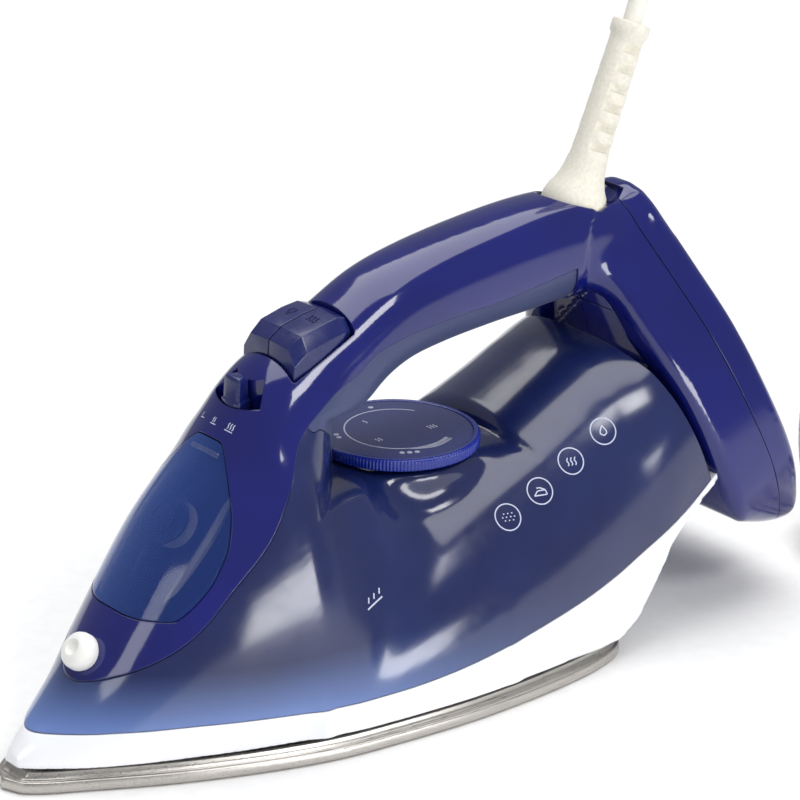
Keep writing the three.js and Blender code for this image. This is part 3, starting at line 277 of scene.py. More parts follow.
def flap_look(tree, place):
    # Painted sheen: the colour turns lighter towards the glancing edges, where the plastic also grows more opaque.
    edge = put(tree, "ShaderNodeLayerWeight", {"Blend": 0.35}).outputs["Facing"]
    return {
        "Base Color": put(
            tree, "ShaderNodeMix", {0: edge, 6: linear("#1d3c86"), 7: linear("#3f62ae")}, data_type="RGBA",
        ).outputs[2],
        "Roughness": put(
            tree, "ShaderNodeMapRange",
            {
                "Value": grain(tree, place, 5),
                "From Min": 0.3,
                "From Max": 0.7,
                "To Min": 0.05,
                "To Max": 0.1,
            },
        ).outputs["Result"],
        "Alpha": put(
            tree, "ShaderNodeMapRange",
            {"Value": edge, "From Min": 0.0, "From Max": 0.8, "To Min": 0.38, "To Max": 0.9},
        ).outputs["Result"],
        "Normal": put(
            tree, "ShaderNodeBump",
            {"Height": grain(tree, place, 12, 1), "Distance": 0.015 * MM, "Strength": 0.5},
        ).outputs["Normal"],
        "IOR": 1.58,
        "Coat Weight": 0.4,
        "Coat Roughness": 0.03,
    }


# Clear blue polycarbonate of the filling flap: the plug shows through it, and a painted sheen lightens it towards its
# glancing edges.
clear_blue_polycarbonate = finish_of("clear_blue_polycarbonate", flap_look)


def grip_look(tree, place):
    pits = put(tree, "ShaderNodeTexVoronoi", {"Vector": place, "Scale": 1 / (1.1 * MM)}).outputs["Distance"]
    drift = grain(tree, place, 30, 2)
    return {
        "Base Color": put(
            tree, "ShaderNodeMix",
            {
                0: put(
                    tree, "ShaderNodeMapRange",
                    {"Value": drift, "From Min": 0.3, "From Max": 0.7, "To Min": 0, "To Max": 1},
                ).outputs["Result"],
                6: linear("#2c3864"),
                7: linear("#343f68"),
            },
            data_type="RGBA",
        ).outputs[2],
        "Roughness": put(
            tree, "ShaderNodeMapRange",
            {"Value": pits, "From Min": 0, "From Max": 1, "To Min": 0.34, "To Max": 0.46},
        ).outputs["Result"],
        "Normal": put(
            tree, "ShaderNodeBump", {"Height": pits, "Distance": 0.03 * MM, "Strength": 0.5},
        ).outputs["Normal"],
        "IOR": 1.5,
        "Sheen Weight": 0.12,
        "Sheen Roughness": 0.5,
    }


# Soft-touch elastomer over ABS under the handle; its leather grain of about 1 mm dulls the light.
soft_touch_tpe = finish_of("soft_touch_tpe", grip_look)


def sole_look(tree, place):
    brushed = grain(tree, place, 0.5, 4, (0.04, 1, 1))
    smear = grain(tree, place, 22, 3)
    shade = put(
        tree, "ShaderNodeMix",
        {
            0: put(
                tree, "ShaderNodeMapRange",
                {"Value": brushed, "From Min": 0.3, "From Max": 0.7, "To Min": 0, "To Max": 1},
            ).outputs["Result"],
            6: linear("#b3afaa"),
            7: linear("#c4c0bb"),
        },
        data_type="RGBA",
    ).outputs[2]
    return {
        "Base Color": put(
            tree, "ShaderNodeMix",
            {
                0: put(
                    tree, "ShaderNodeMapRange",
                    {"Value": smear, "From Min": 0.3, "From Max": 0.7, "To Min": 0, "To Max": 0.25},
                ).outputs["Result"],
                6: shade,
                7: linear("#a5a19d"),
            },
            data_type="RGBA",
        ).outputs[2],
        "Metallic": 0.9,
        "Roughness": put(
            tree, "ShaderNodeMapRange",
            {"Value": brushed, "From Min": 0.3, "From Max": 0.7, "To Min": 0.26, "To Max": 0.36},
        ).outputs["Result"],
        "Normal": put(
            tree, "ShaderNodeBump", {"Height": brushed, "Distance": 0.006 * MM, "Strength": 0.3},
        ).outputs["Normal"],
    }


# Pressed steel with a fired ceramic glaze, brushed lengthways: warm grey, streaky and half bright. The streaks of
# about 0.1 mm are drawn 0.5 mm apart so that they show.
brushed_ceramic_steel = finish_of("brushed_ceramic_steel", sole_look)


def dial_face_look(tree, place):
    sand = grain(tree, place, 0.5, 2)
    return {
        "Base Color": put(
            tree, "ShaderNodeMix",
            {
                0: put(
                    tree, "ShaderNodeMapRange",
                    {"Value": sand, "From Min": 0.3, "From Max": 0.7, "To Min": 0, "To Max": 1},
                ).outputs["Result"],
                6: linear("#333b6e"),
                7: linear("#3a4276"),
            },
            data_type="RGBA",
        ).outputs[2],
        "Roughness": put(
            tree, "ShaderNodeMapRange",
            {"Value": sand, "From Min": 0.3, "From Max": 0.7, "To Min": 0.36, "To Max": 0.48},
        ).outputs["Result"],
        "Normal": put(
            tree, "ShaderNodeBump", {"Height": sand, "Distance": 0.012 * MM, "Strength": 0.5},
        ).outputs["Normal"],
        "IOR": 1.5,
    }


# Spark-eroded ABS, the dial's face: slate navy with a fine sand grain of about 0.5 mm.
slate_eroded_abs = finish_of("slate_eroded_abs", dial_face_look)
# Bright blue ABS of the dial's milled rim.
blue_milled_abs = finish_of(
    "blue_milled_abs", moulded("#0d2790", "#0a2180", 0.25, size=2, coat=0.2, edge=0.15),
)


def ink_look(tree, place):
    speck = grain(tree, place, 0.4, 2)
    return {
        "Base Color": put(
            tree, "ShaderNodeMix",
            {
                0: put(
                    tree, "ShaderNodeMapRange",
                    {"Value": speck, "From Min": 0.3, "From Max": 0.7, "To Min": 0, "To Max": 1},
                ).outputs["Result"],
                6: linear("#c9cde0"),
                7: linear("#b6bbd3"),
            },
            data_type="RGBA",
        ).outputs[2],
        "Roughness": put(
            tree, "ShaderNodeMapRange",
            {"Value": speck, "From Min": 0.3, "From Max": 0.7, "To Min": 0.4, "To Max": 0.55},
        ).outputs["Result"],
        "Specular IOR Level": 0.4,
    }


# Pad-printed ink: pale grey-white, flat and slightly uneven.
pad_print_ink = finish_of("pad_print_ink", ink_look)


def rubber_look(base, deeper, size):
    def look(tree, place):
        speck = grain(tree, place, size, 3)
        return {
            "Base Color": put(
                tree, "ShaderNodeMix",
                {
                    0: put(
                        tree, "ShaderNodeMapRange",
                        {"Value": speck, "From Min": 0.3, "From Max": 0.7, "To Min": 0, "To Max": 1},
                    ).outputs["Result"],
                    6: linear(base),
                    7: linear(deeper),
                },
                data_type="RGBA",
            ).outputs[2],
            "Roughness": put(
                tree, "ShaderNodeMapRange",
                {"Value": speck, "From Min": 0.3, "From Max": 0.7, "To Min": 0.48, "To Max": 0.62},
            ).outputs["Result"],
            "Normal": put(
                tree, "ShaderNodeBump", {"Height": speck, "Distance": 0.02 * MM, "Strength": 0.5},
            ).outputs["Normal"],
            "IOR": 1.5,
            "Subsurface Weight": 0.08,
            "Subsurface Scale": 2 * MM,
        }
    return look


# Flexible PVC of the cord guard: off-white, matt and slightly see-through.
ivory_soft_pvc = finish_of("ivory_soft_pvc", rubber_look("#e9e6da", "#dcd8ca", 1.2))
# Extruded PVC sheath of the mains lead, smoother than the guard.
ivory_cord_pvc = finish_of("ivory_cord_pvc", rubber_look("#efede5", "#e7e4da", 2.0))
# Nylon hook-and-loop strap round the coil: near-black with a fuzzy weave.
black_nylon_tie = finish_of("black_nylon_tie", rubber_look("#232327", "#34343a", 0.6))


def metal_look(base, rough, stretch):
    def look(tree, place):
        lines = grain(tree, place, 0.6, 3, stretch)
        return {
            "Base Color": put(
                tree, "ShaderNodeMix",
                {
                    0: put(
                        tree, "ShaderNodeMapRange",
                        {"Value": lines, "From Min": 0.3, "From Max": 0.7, "To Min": 0, "To Max": 1},
                    ).outputs["Result"],
                    6: linear(base),
                    7: linear("#8f9094"),
                },
                data_type="RGBA",
            ).outputs[2],
            "Metallic": 1.0,
            "Roughness": put(
                tree, "ShaderNodeMapRange",
                {
                    "Value": lines,
                    "From Min": 0.3,
                    "From Max": 0.7,
                    "To Min": rough * 0.8,
                    "To Max": rough * 1.3,
                },
            ).outputs["Result"],
            "Normal": put(
                tree, "ShaderNodeBump", {"Height": lines, "Distance": 0.01 * MM, "Strength": 0.4},
            ).outputs["Normal"],
        }
    return look


# Zinc-plated and bright-drawn steel: screws, pins, springs and rods.
plated_steel = finish_of("plated_steel", metal_look("#c3c5c9", 0.28, (1, 1, 0.2)))
# Die-cast aluminium, as it leaves the mould: pale grey and matt.
cast_aluminium = finish_of("cast_aluminium", metal_look("#b0b2b4", 0.5, (1, 1, 1)))
# Machined brass of the valve seat and the plug's pins.
turned_brass = finish_of("turned_brass", metal_look("#c9a862", 0.25, (1, 1, 4)))
# Polyamide and acetal fittings inside: off-white and satin.
white_acetal = finish_of("white_acetal", moulded("#e4e3dd", "#dad8d0", 0.42, size=3))
# Black-grey acetal of the pistons.
dark_acetal = finish_of("dark_acetal", moulded("#54575d", "#484b50", 0.4, size=3))
# Silicone of the plug's seal: milky and soft.
milky_silicone = finish_of("milky_silicone", rubber_look("#dfdfd9", "#d2d2cb", 1.5))
# PVC insulation of the two inner wires.
brown_wire_pvc = finish_of("brown_wire_pvc", rubber_look("#74462a", "#6a3f25", 1.0))
blue_wire_pvc = finish_of("blue_wire_pvc", rubber_look("#2f62b5", "#2957a3", 1.0))


# ------------------------------------------------------------ mesh making
def piece(name, points, faces):
    """A mesh object from millimetre points."""
    mesh = bpy.data.meshes.new(name)
    mesh.from_pydata((np.asarray(points, float) * MM).tolist(), [], [list(map(int, f)) for f in faces])
    obj = bpy.data.objects.new(name, mesh)
    bpy.context.scene.collection.objects.link(obj)
    return obj


def loft(rings):
    """Points and triangles of a closed body through rings with equally many points."""
    rings = np.asarray(rings, float)
    count, sides = rings.shape[:2]
    points = np.vstack([rings.reshape(-1, 3), rings[0].mean(0), rings[-1].mean(0)])
    i, j = np.meshgrid(np.arange(count - 1) * sides, np.arange(sides), indexing="ij")
    nxt = (j + 1) % sides
    quads = np.stack([i + j, i + nxt, i + sides + nxt, i + sides + j], -1).reshape(-1, 4)
    j = np.arange(sides)
    nxt = (j + 1) % sides
    last = (count - 1) * sides
    low = np.stack([nxt, j, np.full(sides, len(points) - 2)], -1)
    high = np.stack([last + j, last + nxt, np.full(sides, len(points) - 1)], -1)
    faces = np.vstack([quads[:, [0, 1, 2]], quads[:, [0, 2, 3]], low, high])
    a, b, c = (points[faces[:, k]] for k in range(3))
    if np.einsum("ij,ij->", a, np.cross(b, c)) < 0:
        faces = faces[:, ::-1]
    return points, faces


def frame_along(axis):
    """Two directions square to an axis and to each other."""
    axis = unit(axis)
    side = unit(np.cross(axis, AXIS_Y if abs(axis[1]) < 0.9 else AXIS_X))
    return side, np.cross(axis, side)


def turned(profile, foot, axis=AXIS_Z, sides=64, radius_at=None):
    """A closed body turned from [radius, height] points; radius_at(angle, height) may add to each radius."""
    side, other = frame_along(axis)
    angle = np.linspace(0, 2 * math.pi, sides, endpoint=False)
    rings = []
    for radius, height in profile:
        reach = np.full(sides, max(radius, 0.01))
        if radius_at is not None:
            reach = reach + radius_at(angle, radius, height)
        spokes = np.outer(np.cos(angle) * reach, side) + np.outer(np.sin(angle) * reach, other)
        rings.append(np.asarray(foot) + spokes + unit(axis) * height)
    return loft(rings)


SIDE_VIEW = (np.zeros(3), AXIS_X, AXIS_Z, AXIS_Y)
PLAN_VIEW = (np.zeros(3), AXIS_X, AXIS_Y, AXIS_Z)
BIG = 400


def flat_prism(name, outline, low, high, axes):
    """A prism from a flat outline, extruded between two heights; it suits outlines that a fan of triangles can't cap.
    """
    origin, first, second, third = axes
    mesh = bmesh.new()
    corners = [mesh.verts.new((origin + a * first + b * second + low * third) * MM) for a, b in outline]
    face = mesh.faces.new(corners)
    grown = bmesh.ops.extrude_face_region(mesh, geom=[face])["geom"]
    moved = [v for v in grown if isinstance(v, bmesh.types.BMVert)]
    bmesh.ops.translate(mesh, verts=moved, vec=Vector(third * (high - low) * MM))
    bmesh.ops.triangulate(mesh, faces=mesh.faces)
    bmesh.ops.recalc_face_normals(mesh, faces=mesh.faces)
    data = bpy.data.meshes.new(name)
    mesh.to_mesh(data)
    obj = bpy.data.objects.new(name, data)
    bpy.context.scene.collection.objects.link(obj)
    return obj


def settle(obj):
    """Turns the object's modifiers into its mesh."""
    depsgraph = bpy.context.evaluated_depsgraph_get()
    made = bpy.data.meshes.new_from_object(obj.evaluated_get(depsgraph))
    obj.modifiers.clear()
    obj.data = made
    return obj


def drop(*objs):
    for obj in objs:
        bpy.data.objects.remove(obj)


def carve(obj, tool, way="DIFFERENCE", keep=False):
    """Cuts obj by a tool, and removes the tool unless it is kept."""
    modifier = obj.modifiers.new("cut", "BOOLEAN")
    modifier.operation = way
    modifier.solver = "MANIFOLD"
    modifier.object = tool
    settle(obj)
    if not keep:
        drop(tool)
    return obj


def copy_of(obj, name):
    twin = bpy.data.objects.new(name, obj.data.copy())
    bpy.context.scene.collection.objects.link(twin)
    return twin


def dress(obj, material, body="base", nodes=(), angle=32, rounding=0, segments=2):
    """Gives a piece its material, its edges and its body, and hides the frame's nodes that it stands for."""
    obj.data.materials.clear()
    obj.data.materials.append(material)
    if rounding:
        modifier = obj.modifiers.new("edges", "BEVEL")
        modifier.width = rounding * MM
        modifier.segments = segments
        modifier.limit_method = "ANGLE"
        modifier.angle_limit = math.radians(angle)
        modifier.use_clamp_overlap = True
        settle(obj)
    obj.data.shade_smooth()
    obj.data.set_sharp_from_angle(angle=math.radians(angle))
    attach(obj, body)
    if nodes:
        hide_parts(*nodes)
    return obj


# ------------------------------------------------------------ smooth tables
def through(pairs, column=1):
    """A smooth reading of a table's column against its first one."""
    rows = sorted(pairs, key=lambda row: row[0])
    at = np.array([row[0] for row in rows], float)
    value = np.array([row[column] for row in rows], float)
    slope = np.gradient(value, at)
    slope[1:-1] = (value[2:] - value[:-2]) / (at[2:] - at[:-2])

    def read(place):
        place = np.clip(place, at[0], at[-1])
        i = np.clip(np.searchsorted(at, place, side="right") - 1, 0, len(at) - 2)
        span = at[i + 1] - at[i]
        t = (place - at[i]) / span
        ease = t * (1 - t) ** 2 * slope[i] * span - t * t * (1 - t) * slope[i + 1] * span
        return value[i] + t * t * (3 - 2 * t) * (value[i + 1] - value[i]) + ease
    return read


def spline(points, steps):
    """A smooth curve through points, with steps spans between each two."""
    p = np.asarray(points, float)
    p = np.vstack([2 * p[0] - p[1], p, 2 * p[-1] - p[-2]])
    t = np.linspace(0, 1, steps, endpoint=False)[:, None]
    out = []
    for a, b, c, d in zip(p, p[1:], p[2:], p[3:]):
        out.append(
            0.5 * (2 * b + (c - a) * t + (2 * a - 5 * b + 4 * c - d) * t ** 2 + (3 * b - a - 3 * c + d) * t ** 3),
        )
    return np.vstack([*out, p[-2:-1]])


def along(share):
    return np.asarray(share) * SOLE_LENGTH / 2


def across(share):
    return np.asarray(share) * SOLE_WIDTH / 2


def up(share):
    return np.asarray(share) * HANDLE_TOP


# Place, half width, crest height and roundness of the nose, as shares; the first rows are its slope behind the dial.
NOSE = [
    [-0.4, 0.93, 0.43, 2.2], [-0.3, 0.925, 0.46, 2.0], [-0.2, 0.915, 0.51, 1.75], [-0.13, 0.905, 0.585, 1.55],
    [-0.09, 0.9, 0.64, 1.46], [0, 0.888, 0.7, 1.42], [0.086, 0.868, 0.73, 1.55], [0.15, 0.835, 0.742, 1.75],
    [0.21, 0.808, 0.71, 1.9], [0.31, 0.745, 0.633, 2], [0.44, 0.655, 0.53, 2.1], [0.55, 0.565, 0.425, 2.1],
    [0.655, 0.475, 0.313, 2.1], [0.735, 0.395, 0.23, 2], [0.8, 0.325, 0.178, 2], [0.865, 0.235, 0.14, 2],
    [0.92, 0.15, 0.112, 2], [0.966, 0.07, 0.075, 2],
]
# The same of the tank behind it, with the rise of its lower edge.
STERN = [
    [-1.38, 0.8, 0.69, 2.7, 0.33], [-1.28, 0.825, 0.686, 2.7, 0.285], [-1.11, 0.87, 0.667, 2.7, 0.195],
    [-0.965, 0.895, 0.637, 2.6, 0.045], [-0.853, 0.921, 0.601, 2.5, 0], [-0.647, 0.947, 0.536, 2.4, 0],
    [-0.319, 0.956, 0.451, 2.3, 0], [-0.043, 0.904, 0.379, 2.2, 0], [0.172, 0.825, 0.33, 2, 0],
]
# The handle's sections: top point, underside point, half width.
BAR = [
    [0.33, 0.58, -0.05, 0.38, 0.45], [0.24, 0.69, -0.1, 0.46, 0.42], [0.15, 0.763, -0.125, 0.53, 0.37],
    [0.04, 0.81, -0.165, 0.6, 0.325], [-0.1, 0.86, -0.225, 0.667, 0.307],
    [-0.26, 0.92, -0.33, 0.71, 0.298], [-0.43, 0.953, -0.465, 0.73, 0.298],
    [-0.65, 0.977, -0.655, 0.742, 0.298], [-0.86, 0.99, -0.845, 0.748, 0.29],
    [-1.08, 0.985, -1.02, 0.76, 0.28], [-1.24, 0.965, -1.16, 0.785, 0.265],
]
# Side view of the line under the shell, from the tip to the heel.
SHELL_LINE = [
    [1.1, 0.19], [0.83, 0.19], [0.69, 0.23], [0.535, 0.295], [0.405, 0.39], [0.293, 0.47], [0.207, 0.56],
    [0.12, 0.66], [0, 0.72], [-0.1, 0.752], [-0.17, 0.784], [-0.285, 0.804], [-0.465, 0.817], [-0.645, 0.824],
    [-0.93, 0.85],
]
# Side view of the line between the skirt and the tank.
SKIRT_LINE = [
    [1.1, 0.112], [0.9, 0.118], [0.6, 0.122], [0.1, 0.112], [-0.22, 0.124], [-0.58, 0.163], [-0.85, 0.21],
    [-1.11, 0.288], [-1.28, 0.36], [-1.5, 0.47],
]
# Half the sole plate's plan.
SOLE_OUTLINE = [
    [-1, 0], [-0.985, 0.5], [-0.93, 0.77], [-0.85, 0.9], [-0.65, 0.98], [-0.32, 1], [-0.04, 0.95],
    [0.22, 0.86], [0.55, 0.61], [0.84, 0.3], [0.97, 0.13], [1, 0],
]
# The heel from its foot to its crown: height along it, half width.
HEEL_OUTLINE = [
    [0, 0.45], [0.03, 0.78], [0.16, 0.965], [0.3, 1], [0.5, 0.885], [0.65, 0.74], [0.79, 0.53], [0.92, 0.32],
    [0.98, 0.2], [1, 0.1],
]

nose_crest = lambda x: up(through(NOSE, 2)(2 * x / SOLE_LENGTH))
bar_top = lambda x: up(through(BAR, 1)(2 * x / SOLE_LENGTH))

heel_up = np.array([math.sin(HEEL_LEAN), 0, math.cos(HEEL_LEAN)])
heel_in = np.cross(AXIS_Y, heel_up)
HEEL_HEIGHT = (HANDLE_TOP - 0.74 - HEEL_FOOT[2]) / math.cos(HEEL_LEAN)


def heel_point(side, height, depth):
    return HEEL_FOOT + side * AXIS_Y + height * heel_up + depth * heel_in


ball_centre = np.array([-120, 0, bar_top(-120.0) - 6])
guard_axis = np.array([-math.sin(GUARD_LEAN), 0, math.cos(GUARD_LEAN)])
cord_exit = ball_centre + guard_axis * (BALL_R + GUARD_LENGTH + SEAM)

# ------------------------------------------------------------ the mains lead
LEAD_ROUTE = [
    [-149.2, 0, 217], [-161, 2, 233.2], [-180.4, 5, 242.3], [-201.8, 9, 240.4], [-219.3, 12.5, 228.1],
    [-227.6, 14.5, 212.2], [-229, 15, 200], [-229.2, 15, 165], [-229.2, 15, 125], [-229.2, 15, 85],
    [-229.2, 15, 55], [-229.4, 15, 36], [-233, 15.5, 20], [-243.9, 16.8, 8.9],
]
TAIL_ROUTE = [
    [-239, 92.6, 25], [-228.8, 82.4, 25.6], [-225, 68.4, 26.6], [-228.8, 54.4, 27.8], [-239, 44.2, 28.8],
    [-248, 40.8, 29.4], [-254, 40.4, 29.4],
]
COLUMNS = [43.6, 37, 30.4]
LAYERS = [4.9, 11.5, 18.1, 24.8]
# Turn at which a move starts, turns that it takes, and the column or layer that it leads to.
COLUMN_MOVES = [
    [0.75, 0.25, COLUMNS[1]], [1.75, 0.25, COLUMNS[2]], [3.25, 0.25, COLUMNS[1]], [4.25, 0.25, COLUMNS[0]],
    [5.75, 0.25, COLUMNS[1]], [6.75, 0.25, COLUMNS[2]], [7.2, 0.3, 36.4],
]
LAYER_MOVES = [[2.5, 0.25, LAYERS[1]], [5, 0.25, LAYERS[2]], [7, 0.3, LAYERS[3]]]
COIL_TURNS = 7.5
STEPS_A_TURN = 24


def moved(turn, start, moves):
    value = start
    before = start
    for begin, length, after in moves:
        t = min(max((turn - begin) / length, 0), 1)
        value += (after - before) * t * t * (3 - 2 * t)
        before = after
    return value


coil = []
for step in range(int(COIL_TURNS * STEPS_A_TURN) + 1):
    turn = step / STEPS_A_TURN
    angle = -math.pi / 2 - 2 * math.pi * turn
    radius = moved(turn, COLUMNS[0], COLUMN_MOVES)
    height = moved(turn, LAYERS[0], LAYER_MOVES)
    coil.append(COIL_CENTRE + [radius * math.cos(angle), radius * math.sin(angle), height])
start_in_guard = cord_exit - guard_axis * 18
cord_points = np.vstack([[start_in_guard, cord_exit], spline(LEAD_ROUTE, 1), coil, TAIL_ROUTE])
cord_line = np.vstack([spline(cord_points, 3)])


def swept(line, radius, sides=16, squash=1.0):
    """A round tube along a line, its rings turned as little as they can be."""
    line = np.asarray(line, float)
    ahead = np.gradient(line, axis=0)
    ahead /= np.linalg.norm(ahead, axis=1)[:, None]
    side = frame_along(ahead[0])[0]
    angle = np.linspace(0, 2 * math.pi, sides, endpoint=False)
    rings = []
    for point, axis in zip(line, ahead):
        side = unit(side - axis * (side @ axis))
        other = np.cross(axis, side)
        rings.append(
            point + radius * (np.outer(np.cos(angle), side) + squash * np.outer(np.sin(angle), other)),
        )
    return loft(rings)


mains_cord = piece("mains_cord", *swept(cord_line, CORD_R, 14))
mains_cord.data.materials.append(ivory_cord_pvc)
mains_cord.data.shade_smooth()
mains_cord.data.set_sharp_from_angle(angle=math.radians(50))

plug_foot = np.array([-254.7, 40.4, 29.4])
plug_body = piece("mains_plug_body", *turned(
    [[0, -0.4], [3.6, -0.4], [4.2, 0.6], [4.4, 6], [4.6, 10], [6.4, 12.4], [7.6, 14.6], [7.9, 22], [7.8, 31],
     [7.2, 35], [6.4, 37.4], [5.6, 38], [0, 38]], plug_foot, -AXIS_X, 64,
    lambda angle, r, h: np.where((h > 15) & (h < 32), 0.25 * np.cos(angle * 24), 0)))
pin_profile = [[0, 36], [2.1, 36], [2.1, 46], [1.9, 47], [1.9, 53.6], [1.4, 54.8], [0, 55]]
plug_pins = []
for number, side in enumerate((-1, 1)):
    plug_pins.append(
        piece(
            f"mains_plug_pin_{number + 1}",
            *turned(pin_profile, plug_foot + [0, side * 4.2, 0], -AXIS_X, 32),
        ),
    )

# A strap round the coil's bundle on its -X side.
strap_line = []
for step in range(48):
    angle = 2 * math.pi * step / 48
    c, s = math.cos(angle), math.sin(angle)
    strap_line.append(
        [
            -253 - 37 + 11.1 * math.copysign(abs(c) ** 0.45, c),
            11.4 + 10.6 * math.copysign(abs(s) ** 0.45, s),
        ],
    )
strap_rings = []
for (x, z), (nx, nz) in zip(strap_line, np.roll(strap_line, -1, 0)):
    out = unit([nz - z, -(nx - x)])
    out = out if out @ [x + 290, z - 11.4] > 0 else -out
    strap_rings.append([[x + out[0] * d, 60 + y, z + out[1] * d] for d, y in
                        ((0, -3.7), (0, 3.7), (0.4, 4), (0.8, 3.7), (0.8, -3.7), (0.4, -4))])
strap_rings = np.array(strap_rings)
strap_sides = strap_rings.shape[1]
strap_faces = []
for i in range(len(strap_rings)):
    for j in range(strap_sides):
        k, m = (i + 1) % len(strap_rings), (j + 1) % strap_sides
        strap_faces.append(
            [i * strap_sides + j, i * strap_sides + m, k * strap_sides + m, k * strap_sides + j],
        )
cord_strap = piece("cord_strap", strap_rings.reshape(-1, 3), strap_faces)

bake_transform(mains_cord)
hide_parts("cord_lead", "cord_coil", "cord_tail")
dress(plug_body, ivory_cord_pvc, nodes=["mains_plug"], angle=40)
for pin in plug_pins:
    dress(pin, turned_brass, angle=40)
dress(cord_strap, black_nylon_tie, nodes=["cord_tie"])

# ------------------------------------------------------------ the outer forms, melted together as distance fields
VOXEL = 1.0
REACH = 12
GRID_LOW = np.array([-208, -66, -4])
GRID_SIZE = np.array([334, 132, 168])
(grid_x, grid_y, grid_z) = [
    GRID_LOW[k] + VOXEL * np.arange(GRID_SIZE[k]).reshape([-1 if k == n else 1 for n in range(3)])
    for k in range(3)
]


def field_of(points, faces):
    """Distance to a closed body's skin, negative inside, at each point of the grid."""
    transform = openvdb.createLinearTransform(voxelSize=VOXEL)
    grid = openvdb.FloatGrid.createLevelSetFromPolygons(
        (points - GRID_LOW).astype(np.float32), triangles=np.ascontiguousarray(faces, np.uint32),
        transform=transform, halfWidth=REACH)
    values = np.empty(GRID_SIZE, np.float32)
    grid.copyToArray(values)
    return values


def slopes(field):
    return np.gradient(field)


def melt(first, second, radius):
    """The union of two fields with a fillet where they meet at an angle, and none where they run together."""
    cosine = sum(a * b for a, b in zip(slopes(first), slopes(second)))
    width = radius * np.clip(1.1 - cosine, 0.02, 1)
    share = np.clip(1 - np.abs(first - second) / width, 0, 1)
    return np.minimum(first, second) - share * share * width / 4


def trim(field, cutter, radius):
    """What of a field lies outside the cutter, with its rim rounded."""
    share = np.clip(1 - np.abs(field + cutter) / radius, 0, 1)
    return np.maximum(field, -cutter) + share * share * radius / 4


def skin_of(name, field, level=0.0):
    """The mesh of a field's skin at a distance, eased so that no steps of the grid are left."""
    grid = openvdb.FloatGrid(float(REACH * VOXEL))
    grid.copyFromArray(field.astype(np.float32))
    grid.transform = openvdb.createLinearTransform(voxelSize=VOXEL)
    grid.gridClass = openvdb.GridClass.LEVEL_SET
    points, quads = grid.convertToQuads(isovalue=level)
    mesh = bpy.data.meshes.new(name)
    mesh.from_pydata(((points + GRID_LOW) * MM).tolist(), [], quads.tolist())
    obj = bpy.data.objects.new(name, mesh)
    bpy.context.scene.collection.objects.link(obj)
    edges = np.empty(len(mesh.edges) * 2, np.int32)
    mesh.edges.foreach_get("vertices", edges)
    edges = edges.reshape(-1, 2)
    place = np.asarray(points, float)
    count = np.bincount(edges.ravel(), minlength=len(place))[:, None]
    for step in range(16):
        total = np.zeros_like(place)
        for k in range(3):
            total[:, k] = (np.bincount(edges[:, 0], place[edges[:, 1], k], len(place))
                           + np.bincount(edges[:, 1], place[edges[:, 0], k], len(place)))
        place = place + (0.5 if step % 2 == 0 else -0.52) * (total / count - place)
    mesh.vertices.foreach_set("co", ((place + GRID_LOW) * MM).astype(np.float32).ravel())
    mesh.update()
    tidy = bmesh.new()
    tidy.from_mesh(mesh)
    bmesh.ops.recalc_face_normals(tidy, faces=tidy.faces)
    tidy.to_mesh(mesh)
    tidy.free()
    return obj


SECTIONS = 150


def arches(table, behind):
    """Rings of arched sections: half width, lower edge, crest and roundness follow the table."""
    places = np.linspace(table[0][0], table[-1][0], SECTIONS)
    half, crest, roundness = (through(table, k)(places) for k in (1, 2, 3))
    rise = through(table, 4)(places) if behind else np.zeros(SECTIONS)
    angle = np.linspace(0, math.pi, 73)
    rings = []
    for x, h, c, n, r in zip(along(places), across(half), up(crest), roundness, up(rise)):
        base = SKIRT_BOTTOM + r
        side = h * np.sign(np.cos(angle)) * np.abs(np.cos(angle)) ** (2 / n)
        rings.append(
            np.stack(
                [np.full_like(side, x), side, base + (c - base) * np.abs(np.sin(angle)) ** (2 / n)], -1,
            ),
        )
    return rings


def bar_rings():
    t = np.linspace(0, len(BAR) - 1, SECTIONS)
    columns = [through([[i, row[k]] for i, row in enumerate(BAR)])(t) for k in range(5)]
    angle = np.linspace(0, 2 * math.pi, 96, endpoint=False)
    square = lambda v: np.sign(v) * np.abs(v) ** 0.85
    rings = []
    for top_x, top_z, low_x, low_z, half in zip(*columns):
        top = np.array([along(top_x), 0, up(top_z)])
        low = np.array([along(low_x), 0, up(low_z)])
        reach = (top - low) / 2
        rings.append((top + low) / 2 + np.outer(square(np.sin(angle)), reach)
                     + np.outer(across(half) * square(np.cos(angle)), AXIS_Y))
    return rings


def heel_rings(inset):
    heights = np.linspace(0, 1, 60)
    halves = through(HEEL_OUTLINE)(heights) * HEEL_HALF
    points = np.stack([halves, heights * HEEL_HEIGHT], -1)
    tangent = np.gradient(points, axis=0)
    out = np.stack([tangent[:, 1], -tangent[:, 0]], -1)
    out /= np.linalg.norm(out, axis=1)[:, None]
    points = points - out * inset
    points[:, 0] = np.maximum(points[:, 0], 0.4)
    points[:, 1] = np.clip(points[:, 1], inset, HEEL_HEIGHT - inset)
    outline = np.vstack([points, points[::-1] * [-1, 1]])
    return [
        [heel_point(a, b, depth) for a, b in outline]
        for depth in np.linspace(inset, HEEL_DEPTH - inset, 4)
    ]


def opening_rings():
    ends = [(HEEL_DEPTH + 14, 0.64, 0.35, 0.175, 0.82), (-10, 0.58, 0.74, 0.29, 0.83)]
    return [[heel_point(side * HEEL_HALF, height * HEEL_HEIGHT, depth)
             for side, height in ((low, foot), (high, crown), (-high, crown), (-low, foot))]
            for depth, foot, low, high, crown in ends]


